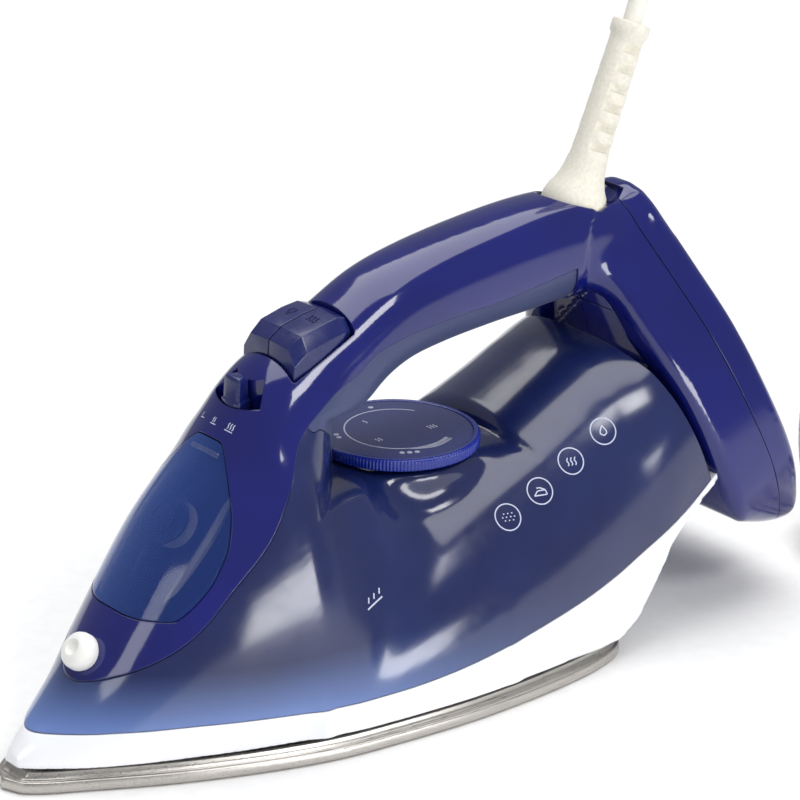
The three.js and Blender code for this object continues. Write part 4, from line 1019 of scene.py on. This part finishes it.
nose_field = field_of(*loft(arches(NOSE, False)))
stern_field = field_of(*loft(arches(STERN, True)))
bar_field = field_of(*loft(bar_rings()))
heel_field = field_of(*loft(heel_rings(HEEL_ROUND))) - HEEL_ROUND
opening_field = field_of(*loft(opening_rings()))
under_slope = math.tan(math.radians(19))
under_field = (grid_z - HEEL_FOOT[2] - 2 - (grid_x - HEEL_FOOT[0] - 12) * under_slope) * math.cos(math.atan(under_slope))
under_field = under_field + 0 * grid_y
turret_field = np.maximum(np.hypot(grid_x - DIAL_X, grid_y) - 25.4, np.abs(grid_z - 60) - 17.4)

# The tank and skirt, with a swept foot to the turret under the dial; then the nose, handle and heel.
low_form = melt(melt(nose_field, stern_field, 12), turret_field, 9)
# The cushion-like crowns are the shell's; the legs and the handle are one moulding with the nose.
bar_and_nose = melt(nose_field, bar_field, 10)
heel_form = trim(heel_field, under_field, 8)
high_form = trim(melt(bar_and_nose, heel_form, 12), opening_field, 5)

# The pylon narrows to a wedge behind, which leaves the dial's front edge free.
wedge_field = np.maximum(
    (grid_x + 16 - 0.85 * np.abs(grid_y)) / 1.31, np.maximum(grid_z - 101 + 0 * grid_y, 77.6 - grid_z),
)
wedge_field = np.maximum(wedge_field, -75 - grid_x)
low_skin = skin_of("low_skin", trim(melt(low_form, bar_field, 8), wedge_field, 5))
high_skin = skin_of("high_skin", high_form)


def side_line(shares, lift=0.0, steps=10):
    points = [[along(x), 0, up(z) + lift] for x, z in shares]
    return [[p[0], p[2]] for p in spline(points, steps)]


def above(name, line):
    return flat_prism(name, [*line, [line[-1][0], BIG], [line[0][0], BIG]], -BIG, BIG, SIDE_VIEW)


def behind(name, depth):
    outline = [[-BIG, -BIG], [BIG, -BIG], [BIG, BIG], [-BIG, BIG]]
    return flat_prism(name, outline, -BIG, 0, (heel_point(0, 0, depth), AXIS_Y, heel_up, heel_in))


# What lies under the shell and in front of the heel, and the line down the pylon between the grip and the tank.
def under_shell(name, drop_by=0.0):
    line = [[x, z - drop_by] for x, z in side_line(SHELL_LINE)]
    foot, top = heel_point(0, -40, HEEL_DEPTH + 1), heel_point(0, 92, HEEL_DEPTH + 4)
    return flat_prism(name, [*line, [line[-1][0] - 2, line[-1][1] - 12], [top[0], top[2]], [foot[0], foot[2]],
                             [BIG, -BIG], [BIG, line[0][1]]], -BIG, BIG, SIDE_VIEW)


GRIP_LINE = [
    [0.16, 0.9], [0.1, 0.685], [0.045, 0.66], [-0.02, 0.62], [-0.075, 0.57], [-0.115, 0.52], [-0.15, 0.52],
    [-0.2, 0.57], [-0.4, 0.62], [-0.65, 0.68], [-0.86, 0.7], [-1.5, 0.72],
]


def grip_side(name, drop_by):
    line = [[x, z - drop_by] for x, z in side_line(GRIP_LINE)]
    return flat_prism(name, [*line, [line[-1][0], BIG], [line[0][0], BIG]], -BIG, BIG, SIDE_VIEW)


def dial_room(name, radius):
    return piece(
        name,
        *turned([[0, 77.6], [radius, 77.6], [radius, 88], [radius - 1, 96], [radius - 4, 104], [0, 106]], [DIAL_X, 0, 0], AXIS_Z, 96),
    )


# The skirt: below its line, in front of the heel's inside.
skirt = copy_of(low_skin, "skirt_moulding")
carve(skirt, above("skirt_cut", side_line(SKIRT_LINE, -SEAM)))
carve(skirt, behind("spigot_cut", HEEL_DEPTH - 8))
carve(
    skirt,
    flat_prism(
        "skirt_foot", [[-BIG, -BIG], [BIG, -BIG], [BIG, BIG], [-BIG, BIG]], -10, SKIRT_BOTTOM + 0.4,
        PLAN_VIEW,
    ),
)
dress(skirt, white_gloss_pp, nodes=["skirt"], rounding=0)

tank = copy_of(low_skin, "water_tank_clear")
carve(tank, above("tank_floor", side_line(SKIRT_LINE)), "INTERSECT")
carve(tank, under_shell("tank_roof", SEAM), "INTERSECT")
carve(tank, grip_side("tank_grip", 0.3))
carve(tank, behind("spigot_cut", HEEL_DEPTH - 8))
carve(tank, dial_room("dial_cut", DIAL_R + 1.2))
PUMP_X = -2.5
PUMP_Y = 6.7
for side in (-1, 1):
    carve(
        tank,
        piece(
            "pump_room",
            *turned([[0, 84], [5.6, 84], [5.6, 130], [0, 130]], [PUMP_X, side * PUMP_Y, 0], AXIS_Z, 48),
        ),
    )
dress(tank, tinted_polycarbonate, nodes=["water_tank"])

grip = copy_of(low_skin, "soft_grip")
carve(grip, under_shell("grip_roof", SEAM), "INTERSECT")
carve(grip, grip_side("grip_floor", 0), "INTERSECT")
carve(grip, dial_room("dial_cut", DIAL_R + 0.8))
dress(grip, soft_touch_tpe, nodes=["grip_underside"])

# The filling flap, cut out of the nose; its slope and the plug's place.
nose_slope = unit([nose_crest(40.0) - nose_crest(70.0), 0, 30])
nose_down = np.array([nose_slope[2], 0, -nose_slope[0]])
plug_centre = np.array([PLUG_X, 0, nose_crest(float(PLUG_X))])
flap_top = plug_centre - nose_down * 29
FLAP_OUTLINE = [
    [0, 3], [0.3, 6], [3, 9], [8, 13], [14, 17.4], [20, 21], [28, 24], [36, 25], [44, 25.2], [50, 24.6],
    [54.5, 22.6], [58, 18.6], [61, 12], [62, 6],
]


def flap_prism(name, grown):
    half = spline([[a, 0, b] for a, b in FLAP_OUTLINE], 5)[:, [0, 2]]
    middle = np.array([30, 0])
    half = half + grown * (half - middle) / np.linalg.norm(half - middle, axis=1)[:, None]
    outline = [*half.tolist(), *(half[::-1] * [1, -1]).tolist()]
    return flat_prism(name, outline, -30, 30, (flap_top, nose_down, AXIS_Y, nose_slope))


def flap_border(name, lift):
    return above(name, side_line(SHELL_LINE, lift))


flap_inside = skin_of("flap_inside", high_form, -1.8)
flap = copy_of(high_skin, "filling_flap")
carve(flap, flap_prism("flap_cut", -0.15), "INTERSECT")
carve(flap, flap_border("flap_edge", 7.3), "INTERSECT")
carve(flap, flap_inside)
dress(flap, clear_blue_polycarbonate, "flap", ["fill_flap"], rounding=0.35)

basin = skin_of("basin", high_form, -8.5)
flap_hole = flap_prism("flap_hole", 0.35)
carve(flap_hole, flap_border("flap_edge", 6.8), "INTERSECT")
carve(flap_hole, basin)

# The shell of the nose, handle and heel.
shell = copy_of(high_skin, "navy_shell")
carve(shell, under_shell("shell_cut"))
carve(shell, behind("cover_cut", COVER_DEPTH + SEAM))
carve(shell, flap_hole)


def sector(name, inner, outer, half, low, high):
    angle = np.radians(np.linspace(-half, half, 21))
    arc = lambda r, a: [[VALVE_X + r * math.cos(v), r * math.sin(v)] for v in a]
    return flat_prism(name, arc(outer, angle) + arc(inner, angle[::-1]), low, high, PLAN_VIEW)


lever_half = math.degrees(LEVER_TAB / 2 / LEVER_R)
carve(shell, sector("lever_slot", LEVER_R - 3.6, LEVER_R + 3.6, lever_half + 24, 96, BIG))


def round_box(name, x, y, z, edge):
    corners = [[a, b] for a, b in ((x[0], y[0]), (x[1], y[0]), (x[1], y[1]), (x[0], y[1]))]
    obj = flat_prism(name, corners, z[0], z[1], PLAN_VIEW)
    modifier = obj.modifiers.new("edges", "BEVEL")
    modifier.width = edge * MM
    modifier.segments = 4
    return settle(obj)


carve(
    shell,
    round_box("button_well", (BUTTON_REAR - 0.7, BUTTON_FRONT + 0.7), (-14.3, 14.3), (105, 180), 2.5),
)
ball_room = [[0, -13], [7, -11], [11.2, -6.5], [12.3, 0], [11.6, 5], [12.6, 9], [14, 14], [0, 14]]


def guard_cups(obj):
    """Clears the room that the guard's ball and neck sweep."""
    for swing in (12, 0, -17, -35):
        lean = GUARD_LEAN + math.radians(swing)
        axis = np.array([-math.sin(lean), 0, math.cos(lean)])
        carve(obj, piece("guard_cup", *turned(ball_room, ball_centre, axis, 64)))


guard_cups(shell)
dress(shell, navy_gloss_abs, nodes=["upper_shell"])

cover = copy_of(high_skin, "rear_cover_plate")
carve(cover, behind("cover_keep", COVER_DEPTH), "INTERSECT")
guard_cups(cover)
screw_places = [(-0.5 * HEEL_HALF, 0.2 * HEEL_HEIGHT), (0.5 * HEEL_HALF, 0.2 * HEEL_HEIGHT)]
for side, height in screw_places:
    sink = [[0, -2], [4.4, -2], [4.1, 0.6], [3.5, 1.2], [3.5, 5], [0, 5]]
    carve(cover, piece("screw_sink", *turned(sink, heel_point(side, height, 0), heel_in, 48)))
# A shallow pressed line round the foot, where the iron rests on its heel.
foot_pad = [
    [-0.62, 0.09], [-0.42, 0.05], [0.42, 0.05], [0.62, 0.09], [0.62, 0.125], [0.42, 0.115], [-0.42, 0.115],
    [-0.62, 0.125],
]
pad_outline = [[a * HEEL_HALF, b * HEEL_HEIGHT] for a, b in foot_pad]
carve(cover, flat_prism("pad_groove", pad_outline, -1, 0.5, (heel_point(0, 0, 0), AXIS_Y, heel_up, heel_in)))
dress(cover, navy_gloss_abs, nodes=["rear_cover"])
for name, (side, height) in zip(("right", "left"), screw_places):
    head = piece(f"cover_screw_{name}", *turned([[0, 4.2], [2.9, 4.2], [3.0, 3.4], [2.6, 2.3], [1.6, 1.75], [0, 1.6]],
                                                heel_point(side, height, 0), heel_in, 48))
    for across_way in (AXIS_Y, heel_up):
        other = np.cross(heel_in, across_way)
        slot_tool = flat_prism("drive", [[-1.8, -0.35], [1.8, -0.35], [1.8, 0.35], [-1.8, 0.35]], 0, 3,
                               (heel_point(side, height, 0), across_way, other, heel_in))
        carve(head, slot_tool)
    dress(head, plated_steel, nodes=[f"rear_cover_screw_{name}"])
drop(low_skin)

# ------------------------------------------------------------ sole plate
sole_share = through(SOLE_OUTLINE)
sole_x = -SOLE_LENGTH / 2 * np.cos(np.linspace(0, math.pi, 160))
sole_half = np.maximum(across(sole_share(2 * sole_x / SOLE_LENGTH)), 0)
sole_half[[0, -1]] = 0
sole_line = np.vstack([np.stack([sole_x, -sole_half], -1), np.stack([sole_x, sole_half], -1)[-2:0:-1]])


def sole_ring(inset, height):
    ahead = np.roll(sole_line, -1, 0) - np.roll(sole_line, 1, 0)
    out = np.stack([ahead[:, 1], -ahead[:, 0]], -1)
    out /= np.linalg.norm(out, axis=1)[:, None]
    ring = sole_line - out * inset
    side = np.sign(sole_line[:, 1])
    ring[:, 1] = np.where(ring[:, 1] * side < 0, 0, ring[:, 1])
    tip = SOLE_LENGTH / 2 - inset * 2.2
    ring[:, 0] = np.clip(ring[:, 0], -SOLE_LENGTH / 2 + inset, tip)
    return np.column_stack([ring, np.full(len(ring), float(height))])


SOLE_PROFILE = [
    [3.2, 0], [1.2, 0.08], [0.5, 0.3], [0.1, 0.8], [0, 1.3], [0.1, 3.7], [0.35, 4.1], [0.8, 4.2],
    [1.4, 4.15], [1.6, 4.3], [1.65, 4.55], [1.9, 4.7], [2.2, 4.9], [2.5, 5.5], [2.75, 6.5], [3.0, 6.6],
    [4.0, 6.6], [4.3, 6.3], [4.4, 4.4], [5.2, 2.8], [9, 2.6],
]
sole = piece("sole_plate_pressed", *loft([sole_ring(a, b) for a, b in SOLE_PROFILE]))
for share, sides in ([0.78, [0]], [0.69, [-0.1, 0.1]], [0.6, [-0.2, 0.2]], [0.5, [-0.29, 0.29]], [0.4, [-0.36, 0, 0.36]],
                     [0.3, [-0.43, 0.43]], [0.2, [-0.48, 0.48]], [0.1, [-0.52, 0.52]]):
    for side in sides:
        carve(sole, piece("steam_hole", *turned([[0, -1], [2.3, -1], [1.5, 0.7], [1.5, 9], [0, 9]],
                                                [along(share), across(side), 0], AXIS_Z, 24)))
dress(sole, brushed_ceramic_steel, nodes=["sole_plate"], angle=50)

# ------------------------------------------------------------ dial
RIDGES = 150
knurl = lambda angle, radius, height: np.where((height > 0.4) & (height < 3.9) & (radius > 27),
                                               0.12 * np.sin(RIDGES * angle), 0)
rim_profile = [
    [0, 0], [26.4, 0], [27.6, 0.3], [27.8, 0.5], [27.9, 0.9], [27.9, 3.2], [27.8, 3.7], [27.4, 4.05],
    [26.9, 4.2], [26.1, 4.2], [25.85, 4.0], [25.8, 3.4], [0, 3.4],
]
dial_rim = piece(
    "dial_milled_rim", *turned(rim_profile, [DIAL_X, 0, DIAL_TOP - DIAL_RIM], AXIS_Z, RIDGES * 6, knurl),
)
dress(dial_rim, blue_milled_abs, "dial", ["dial_knob"], angle=40)
face_profile = [
    [0, -1.0], [25.6, -1.0], [25.7, -0.3], [25.4, -0.1], [24.8, 0], [18, 0.15], [10, 0.25], [0, 0.3],
]
dial_face = piece("dial_slate_face", *turned(face_profile, [DIAL_X, 0, DIAL_TOP - 0.1], AXIS_Z, 128))
dress(dial_face, slate_eroded_abs, "dial", ["dial_face"], angle=30)

# ------------------------------------------------------------ lever and buttons
tab_top = nose_crest(VALVE_X + LEVER_R + 0.0) + 8
angle = np.radians(np.linspace(-lever_half, lever_half, 9))
tab = [[VALVE_X + (LEVER_R + 3) * math.cos(a), (LEVER_R + 3) * math.sin(a)] for a in angle]
tab += [[VALVE_X + (LEVER_R - 3) * math.cos(a), (LEVER_R - 3) * math.sin(a)] for a in angle[::-1]]
tab = np.array(tab)
middle = tab.mean(0)
levels = [
    [96, 1], [tab_top - 8.2, 1], [tab_top - 7.6, 0.86], [tab_top - 1.4, 0.8], [tab_top - 0.4, 0.72],
    [tab_top, 0.55],
]
lever = piece(
    "steam_lever_tab",
    *loft([np.column_stack([middle + (tab - middle) * s, np.full(len(tab), z)]) for z, s in levels]),
)
dress(lever, navy_satin_abs, "lever", ["steam_lever"], angle=38, rounding=0.5)
fan = sector(
    "steam_lever_fan", 1, LEVER_R + 2.9, lever_half + 25, float(bar_top(9.0)) - 26.6,
    float(bar_top(9.0)) - 24.2,
)
dress(fan, navy_satin_abs, "lever", angle=38)

button_top = lambda x: float(bar_top(float(x))) + 2.6


def button(name, side, node, body):
    """A wedge with a broad top facet, a sloping side facet and a front facet that leans back."""
    stations = [  # x, top height, half-way height of the side, width of the top, width at the side's edge
        [BUTTON_FRONT, button_top(11) - 5.5, -4.0, 9.0, 12.6],
        [BUTTON_FRONT - 0.6, button_top(10) + 2.2, -3.0, 9.6, 13.2],
        [5.5, button_top(5.5) + 3.4, -2.2, 10.4, 13.6],
        [-3, button_top(-3) + 1.4, -2.2, 10.6, 13.6],
        [-9, button_top(-9) - 0.4, -2.0, 10.2, 13.4],
        [BUTTON_REAR, button_top(-13) - 3.4, -1.4, 9.2, 12.4],
    ]
    rings = []
    for x, top, fall, top_half, side_half in stations:
        low = float(bar_top(float(x))) - 6
        rings.append([[x, side * y, z] for y, z in (
            (0.25, low), (0.25, top + 0.5), (top_half, top), (side_half, top + fall - 2.4), (side_half, low))])
    obj = piece(name, *loft(rings))
    dress(obj, navy_satin_abs, body, [node], angle=14, rounding=0.55, segments=3)
    return obj


buttons = [button("spray_press_button", 1, "spray_button", "spray_plunger"),
           button("burst_press_button", -1, "burst_button", "burst_plunger")]

# ------------------------------------------------------------ return springs of the pumps
SPRING_LOW = 86.1
SPRING_HIGH = 95.4
SPRING_WIRE = 0.6
for name, side in (("spray", 1), ("burst", -1)):
    turn = np.linspace(0, 2 * math.pi * 5, 161)
    rise = SPRING_LOW + SPRING_WIRE + (SPRING_HIGH - SPRING_LOW - 2 * SPRING_WIRE) * turn / turn[-1]
    coils = np.stack([PUMP_X + 2.6 * np.cos(turn), side * PUMP_Y + 2.6 * np.sin(turn), rise], -1)
    spring = piece(f"{name}_return_spring", *swept(coils, SPRING_WIRE, 8))
    dress(spring, plated_steel, nodes=[f"{name}_spring"], angle=60)
    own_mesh(spring)

# ------------------------------------------------------------ nozzle, fill plug
hinge_spot = flap_top + nose_down * 4 - nose_slope * 3.4
hinge_pin = piece(
    "flap_pin_short",
    *turned([[0, -7], [0.8, -7], [1.0, -6.8], [1.0, 6.8], [0.8, 7], [0, 7]], hinge_spot, AXIS_Y, 32),
)
dress(hinge_pin, plated_steel, nodes=["flap_hinge_pin"])

nozzle_foot = np.array([NOZZLE_X, 0, float(nose_crest(float(NOZZLE_X)))]) - nose_slope * 4.6
nozzle = piece("spray_nozzle_knob", *turned(
    [[0, 1], [5.4, 1], [5.6, 4.6], [6.0, 5.2], [6.2, 6], [6.15, 8], [5.7, 9.4], [4.8, 10.3], [3.6, 10.8], [2.7, 10.9],
     [2.3, 10.4], [1.6, 9.8], [0.6, 9.7], [0, 9.7]], nozzle_foot, nose_slope, 64))
dress(nozzle, white_satin_pp, nodes=["spray_nozzle"], angle=50)

plug = piece("filling_plug", *turned(
    [[0, -9.6], [5.6, -9.6], [6.6, -9.0], [6.6, -3.4], [9.4, -3.2], [9.7, -2.9], [9.7, -2.5], [9.3, -2.25], [8.2, -2.25],
     [8.0, -2.7], [6.2, -2.7], [6.0, -2.3], [0, -2.1]], plug_centre, nose_slope, 64))
dress(plug, clear_blue_polycarbonate, "flap", angle=35)

# ------------------------------------------------------------ cord guard
guard = piece("cord_guard_ribbed", *turned(
    [[0, -8.6], [4, -9.2], [6.4, -9], [9.4, -6.4], [10.9, -3], [11.5, 0], [11.2, 3], [10.2, 6], [9.0, 8], [8.1, 10.4], [7.4, 13],
     [6.8, 17], [6.4, 22], [5.8, 58], [5.9, 60.2], [6.6, 61.2], [6.7, 64.6], [6.3, 65.4], [4.2, 65.5], [3.6, 65.2], [3.6, 63], [0, 63]],
    ball_centre, guard_axis, 64))
pitch = 6.9
for number in range(6):
    for side in (-1, 1):
        height = BALL_R + 7 + pitch * (number + (0.5 if side > 0 else 0))
        cut = flat_prism("rib_slot", [[-9, 3.7], [9, 3.7], [9, 10], [-9, 10]], height - 1.6, height + 1.6,
                         (ball_centre, np.cross(AXIS_Y * side, guard_axis), AXIS_Y * side, guard_axis))
        carve(guard, cut)
dress(guard, ivory_soft_pvc, "guard", ["cord_guard"], angle=40, rounding=0.25)

# ------------------------------------------------------------ printed and moulded marks
def mark(name, strokes, width, origin, right, top, target, material, body, lift=0.07, facing=None):
    """Thin printed strokes laid on a piece: each stroke is a line of [a, b] points in millimetres."""
    tree = BVHTree.FromObject(target, bpy.context.evaluated_depsgraph_get())
    normal = unit(np.cross(right, top)) if facing is None else facing
    points, faces = [], []
    for stroke in strokes:
        closed = len(stroke) > 2 and np.allclose(stroke[0], stroke[-1])
        flat = np.array(stroke, float)
        lengths = np.r_[0, np.cumsum(np.linalg.norm(np.diff(flat, axis=0), axis=1))]
        count = max(int(lengths[-1] / 0.6), 2)
        at = np.linspace(0, lengths[-1], count + 1)
        flat = np.stack([np.interp(at, lengths, flat[:, k]) for k in range(2)], -1)
        ahead = np.gradient(flat, axis=0)
        if closed:
            ahead[0] = ahead[-1] = flat[1] - flat[-2]
        ahead /= np.linalg.norm(ahead, axis=1)[:, None] + 1e-9
        out = np.stack([-ahead[:, 1], ahead[:, 0]], -1) * width / 2
        start = len(points)
        for pair in zip(flat - out, flat + out):
            for a, b in pair:
                source = (np.asarray(origin) + right * a + top * b + normal * 25) * MM
                hit, direction, _, _ = tree.ray_cast(Vector(source), Vector(-normal), 0.06)
                spot = np.array(hit) / MM if hit else source / MM - normal * 25
                points.append(spot + normal * lift)
        for i in range(count):
            k = start + 2 * i
            faces.append([k, k + 1, k + 3, k + 2])
    sheet_points = np.array(points)
    below = sheet_points - normal * 0.05
    total = len(sheet_points)
    walls = [[*f] for f in faces] + [[i + total for i in f[::-1]] for f in faces]
    edges = {}
    for f in faces:
        for a, b in zip(f, f[1:] + f[:1]):
            edges[(a, b)] = True
    walls += [[b, a, a + total, b + total] for a, b in edges if (b, a) not in edges]
    obj = piece(name, np.vstack([sheet_points, below]), walls)
    bm = bmesh.new()
    bm.from_mesh(obj.data)
    bmesh.ops.recalc_face_normals(bm, faces=bm.faces)
    bm.to_mesh(obj.data)
    bm.free()
    dress(obj, material, body, angle=60)
    return obj


def circle(radius, start=0.0, end=360.0, middle=(0, 0)):
    angle = np.radians(np.linspace(start, end, max(int(abs(end - start) / 8), 8)))
    return [[middle[0] + radius * math.cos(a), middle[1] + radius * math.sin(a)] for a in angle]


steam_waves = [[[x, -1.6], [x + 0.5, -0.8], [x - 0.2, 0.2], [x + 0.4, 1.2]] for x in (-1.4, 0, 1.4)]
little_iron = [
    [[-2.4, -1.5], [2.4, -1.5], [2.0, 0.2], [0.2, 1.1], [-1.0, 1.1]],
    [[-2.4, -1.5], [-0.9, 0.1], [1.9, 0.1]],
]
droplet = [[[0, 2], [-1.1, 0.2], [-1.2, -0.8], [0, -1.6], [1.2, -0.8], [1.1, 0.2], [0, 2]]]
drip_rows = [[[x - 0.01, y], [x + 0.45, y]] for y, xs in ((1.2, (-1.5, 0, 1.5)), (0, (-2.2, -0.8, 0.8, 2.2)),
                                                       (-1.2, (-1.5, 0, 1.5))) for x in xs]

def pair_square_to(normal):
    """The two directions in a surface's plane: level across it, and up it."""
    right = unit(np.cross(AXIS_Z, normal))
    return right, np.cross(normal, right)


# Four badges on the tank, each a fine ring round a small picture: water drops, steam, an iron, a droplet.
BADGES = [
    ([-58.8, 39.5, 60.0], drip_rows), ([-73.6, 38.6, 65.2], little_iron), ([-88.6, 37.2, 71.7], steam_waves),
    ([-103.8, 36.3, 78.4], droplet),
]
badge_normal = unit([0.21, 0.755, 0.62])
badge_right, badge_top = pair_square_to(badge_normal)
for number, (spot, picture) in enumerate(BADGES):
    mark(f"badge_{number + 1}", [circle(4.6), *picture], 0.42, np.array(spot), badge_right, badge_top, tank,
                 pad_print_ink, "base")
# The water level mark: a bar with ticks, on the tank's flank.
level_normal = unit([-0.05, 0.93, 0.36])
level_right, level_top = pair_square_to(level_normal)
mark(
    "water_level_mark",
    [
        [[-3.5, -1.2], [3.5, 1.2]], [[-2.6, 0.6], [-2.1, 2.4]], [[0, 1.4], [0.5, 3.2]],
        [[2.6, 2.4], [3.1, 4.2]],
    ],
    0.55, np.array([-1.0, 40.9, 45.9]), level_right, level_top, tank, pad_print_ink, "base",
)

# Steam settings beside the lever: three little clouds that grow.
setting_normal = unit([0.75, 0.0, 0.62])
setting_right, setting_top = AXIS_Y, np.cross(setting_normal, AXIS_Y)
for number, (side, lift, grown) in enumerate(((-8.7, 0.4, 0.5), (-1.6, 0, 0.62), (5.9, 0.4, 0.75))):
    cloud = [[[a * grown, b * grown] for a, b in stroke] for stroke in steam_waves[:number + 1]]
    cloud.append([[-2.2 * grown, -2.4 * grown], [2.2 * grown, -2.4 * grown]])
    mark(f"steam_setting_{number + 1}", cloud, 0.3, np.array([30.4, side, 103.3 + lift]), setting_right,
         -setting_top if setting_top[2] < 0 else setting_top, shell, pad_print_ink, "base")

# The dial's scale: an arc that widens to a wedge, dots that count up, and small steam pictures.
dial_spot = np.array([DIAL_X, 0, DIAL_TOP])
scale_marks = [circle(17.5, -150, 118)]
for k in range(14):
    start = 118
    scale_marks.append(circle(17.5 + 0.16 * k, 60 + 2.2 * k, 118))
dots = []
for count, turn_at in ((1, -105), (2, -20), (3, 62)):
    for k in range(count):
        at = math.radians(turn_at + (k - (count - 1) / 2) * 7)
        middle_of_dot = (20.8 * math.cos(at), 20.8 * math.sin(at))
        dots += [circle(0.35, 0, 360, middle_of_dot), circle(0.7, 0, 360, middle_of_dot)]
pictures = []
for turn_at, picture in ((150, steam_waves), (-62, steam_waves[:1]), (20, steam_waves[:2])):
    at = math.radians(turn_at)
    for stroke in picture:
        pictures.append([[12.2 * math.cos(at) + 0.9 * a, 12.2 * math.sin(at) + 0.9 * b] for a, b in stroke])
mark(
    "dial_scale", [*scale_marks, *dots, *pictures], 0.5, dial_spot, AXIS_X, AXIS_Y, dial_face,
    pad_print_ink, "dial", 0.06,
)

# Raised pictures on the two buttons' top facets: a spray and a burst.
for obj, side, body, picture in ((buttons[0], 1, "spray_plunger", steam_waves), (buttons[1], -1, "burst_plunger", droplet)):
    normal = unit([-0.12, 0, 1])
    picture = [[[1.1 * b, -1.1 * a] for a, b in stroke] for stroke in picture]
    mark(
        f"button_picture_{('left' if side > 0 else 'right')}", picture, 0.5,
        np.array([-3.0, side * 5.4, button_top(-3) + 1.4]), unit([1, 0, 0.12]), AXIS_Y, obj,
        navy_gloss_abs, body, 0.25,
    )
# A triangle and a ring raised on the filling plug.
plug_right, plug_top = AXIS_Y, unit(np.cross(nose_slope, AXIS_Y))
mark(
    "plug_picture", [[[-2.6, -2.2], [2.6, -2.2], [0, 2.6], [-2.6, -2.2]], circle(5.0)], 0.6,
    plug_centre - nose_slope * 2.1, plug_right, plug_top, plug, navy_gloss_abs, "flap", 0.2,
)
drop(high_skin)

# ------------------------------------------------------------ the frame's own nodes that stay in view or inside
NODE_FINISH = {
    "sole_casting": cast_aluminium, "heating_element": plated_steel, "steam_chamber_lid": cast_aluminium,
    "heat_shield": cast_aluminium, "thermostat": cast_aluminium, "thermostat_shaft": plated_steel,
    "steam_valve_seat": turned_brass, "steam_valve_rod": plated_steel, "spray_spring": plated_steel,
    "burst_spring": plated_steel, "spray_piston": dark_acetal, "burst_piston": dark_acetal,
    "flap_hinge_pin": plated_steel, "flap_seal": milky_silicone, "wire_live": brown_wire_pvc,
    "wire_neutral": blue_wire_pvc, "thermal_fuse": plated_steel, "sole_screw_left": plated_steel,
    "sole_screw_right": plated_steel,
}
for name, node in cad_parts.items():
    stay = NODE_FINISH.get(name, white_acetal)
    for place in node.material_slots:
        place.material = stay

# ------------------------------------------------------------ floor and light
floor_mesh = bpy.data.meshes.new("floor")
reach = 6.0
floor_mesh.from_pydata(
    [(-reach, -reach, 0), (reach, -reach, 0), (reach, reach, 0), (-reach, reach, 0)], [], [(0, 1, 2, 3)],
)
floor = bpy.data.objects.new("floor", floor_mesh)
bpy.context.scene.collection.objects.link(floor)


def paper_look(tree, place):
    fibre = grain(tree, place, 6, 3)
    return {
        "Base Color": put(
            tree, "ShaderNodeMix",
            {
                0: put(
                    tree, "ShaderNodeMapRange",
                    {"Value": fibre, "From Min": 0.3, "From Max": 0.7, "To Min": 0, "To Max": 1},
                ).outputs["Result"],
                6: linear("#f6f6f6"),
                7: linear("#f2f2f2"),
            },
            data_type="RGBA",
        ).outputs[2],
        "Roughness": 0.7,
        "Specular IOR Level": 0.2,
    }


# Matt background paper with a faint fibre.
floor_mesh.materials.append(finish_of("background_paper", paper_look))

world = bpy.data.worlds.new("studio")
world.use_nodes = True
world.node_tree.nodes["Background"].inputs["Color"].default_value = linear("#f7f8fa")
world.node_tree.nodes["Background"].inputs["Strength"].default_value = 0.32
bpy.context.scene.world = world


def softbox(name, place, aim, size, power):
    """A rectangular area light at a place in metres, facing its aim."""
    data = bpy.data.lights.new(name, "AREA")
    data.shape = "RECTANGLE"
    data.size, data.size_y = size
    data.energy = power
    obj = bpy.data.objects.new(name, data)
    obj.matrix_world = Matrix.Translation(place) @ (Vector(aim) - Vector(place)).to_track_quat("-Z", "Y").to_matrix().to_4x4()
    bpy.context.scene.collection.objects.link(obj)
    return obj


middle = (-0.04, 0, 0.08)
softbox("side_softbox", (-0.08, 1.0, 1.15), middle, (0.5, 0.34), 5.5)
softbox("low_panel", (-0.16, 1.35, 0.12), middle, (0.8, 0.3), 6.5)
softbox("top_softbox", (-0.5, -0.4, 2.6), middle, (3.0, 2.6), 72)
softbox("nose_softbox", (1.9, 0.3, 1.0), middle, (0.7, 0.7), 5)
bpy.context.scene.view_settings.view_transform = "Standard"
bpy.context.scene.view_settings.look = "None"
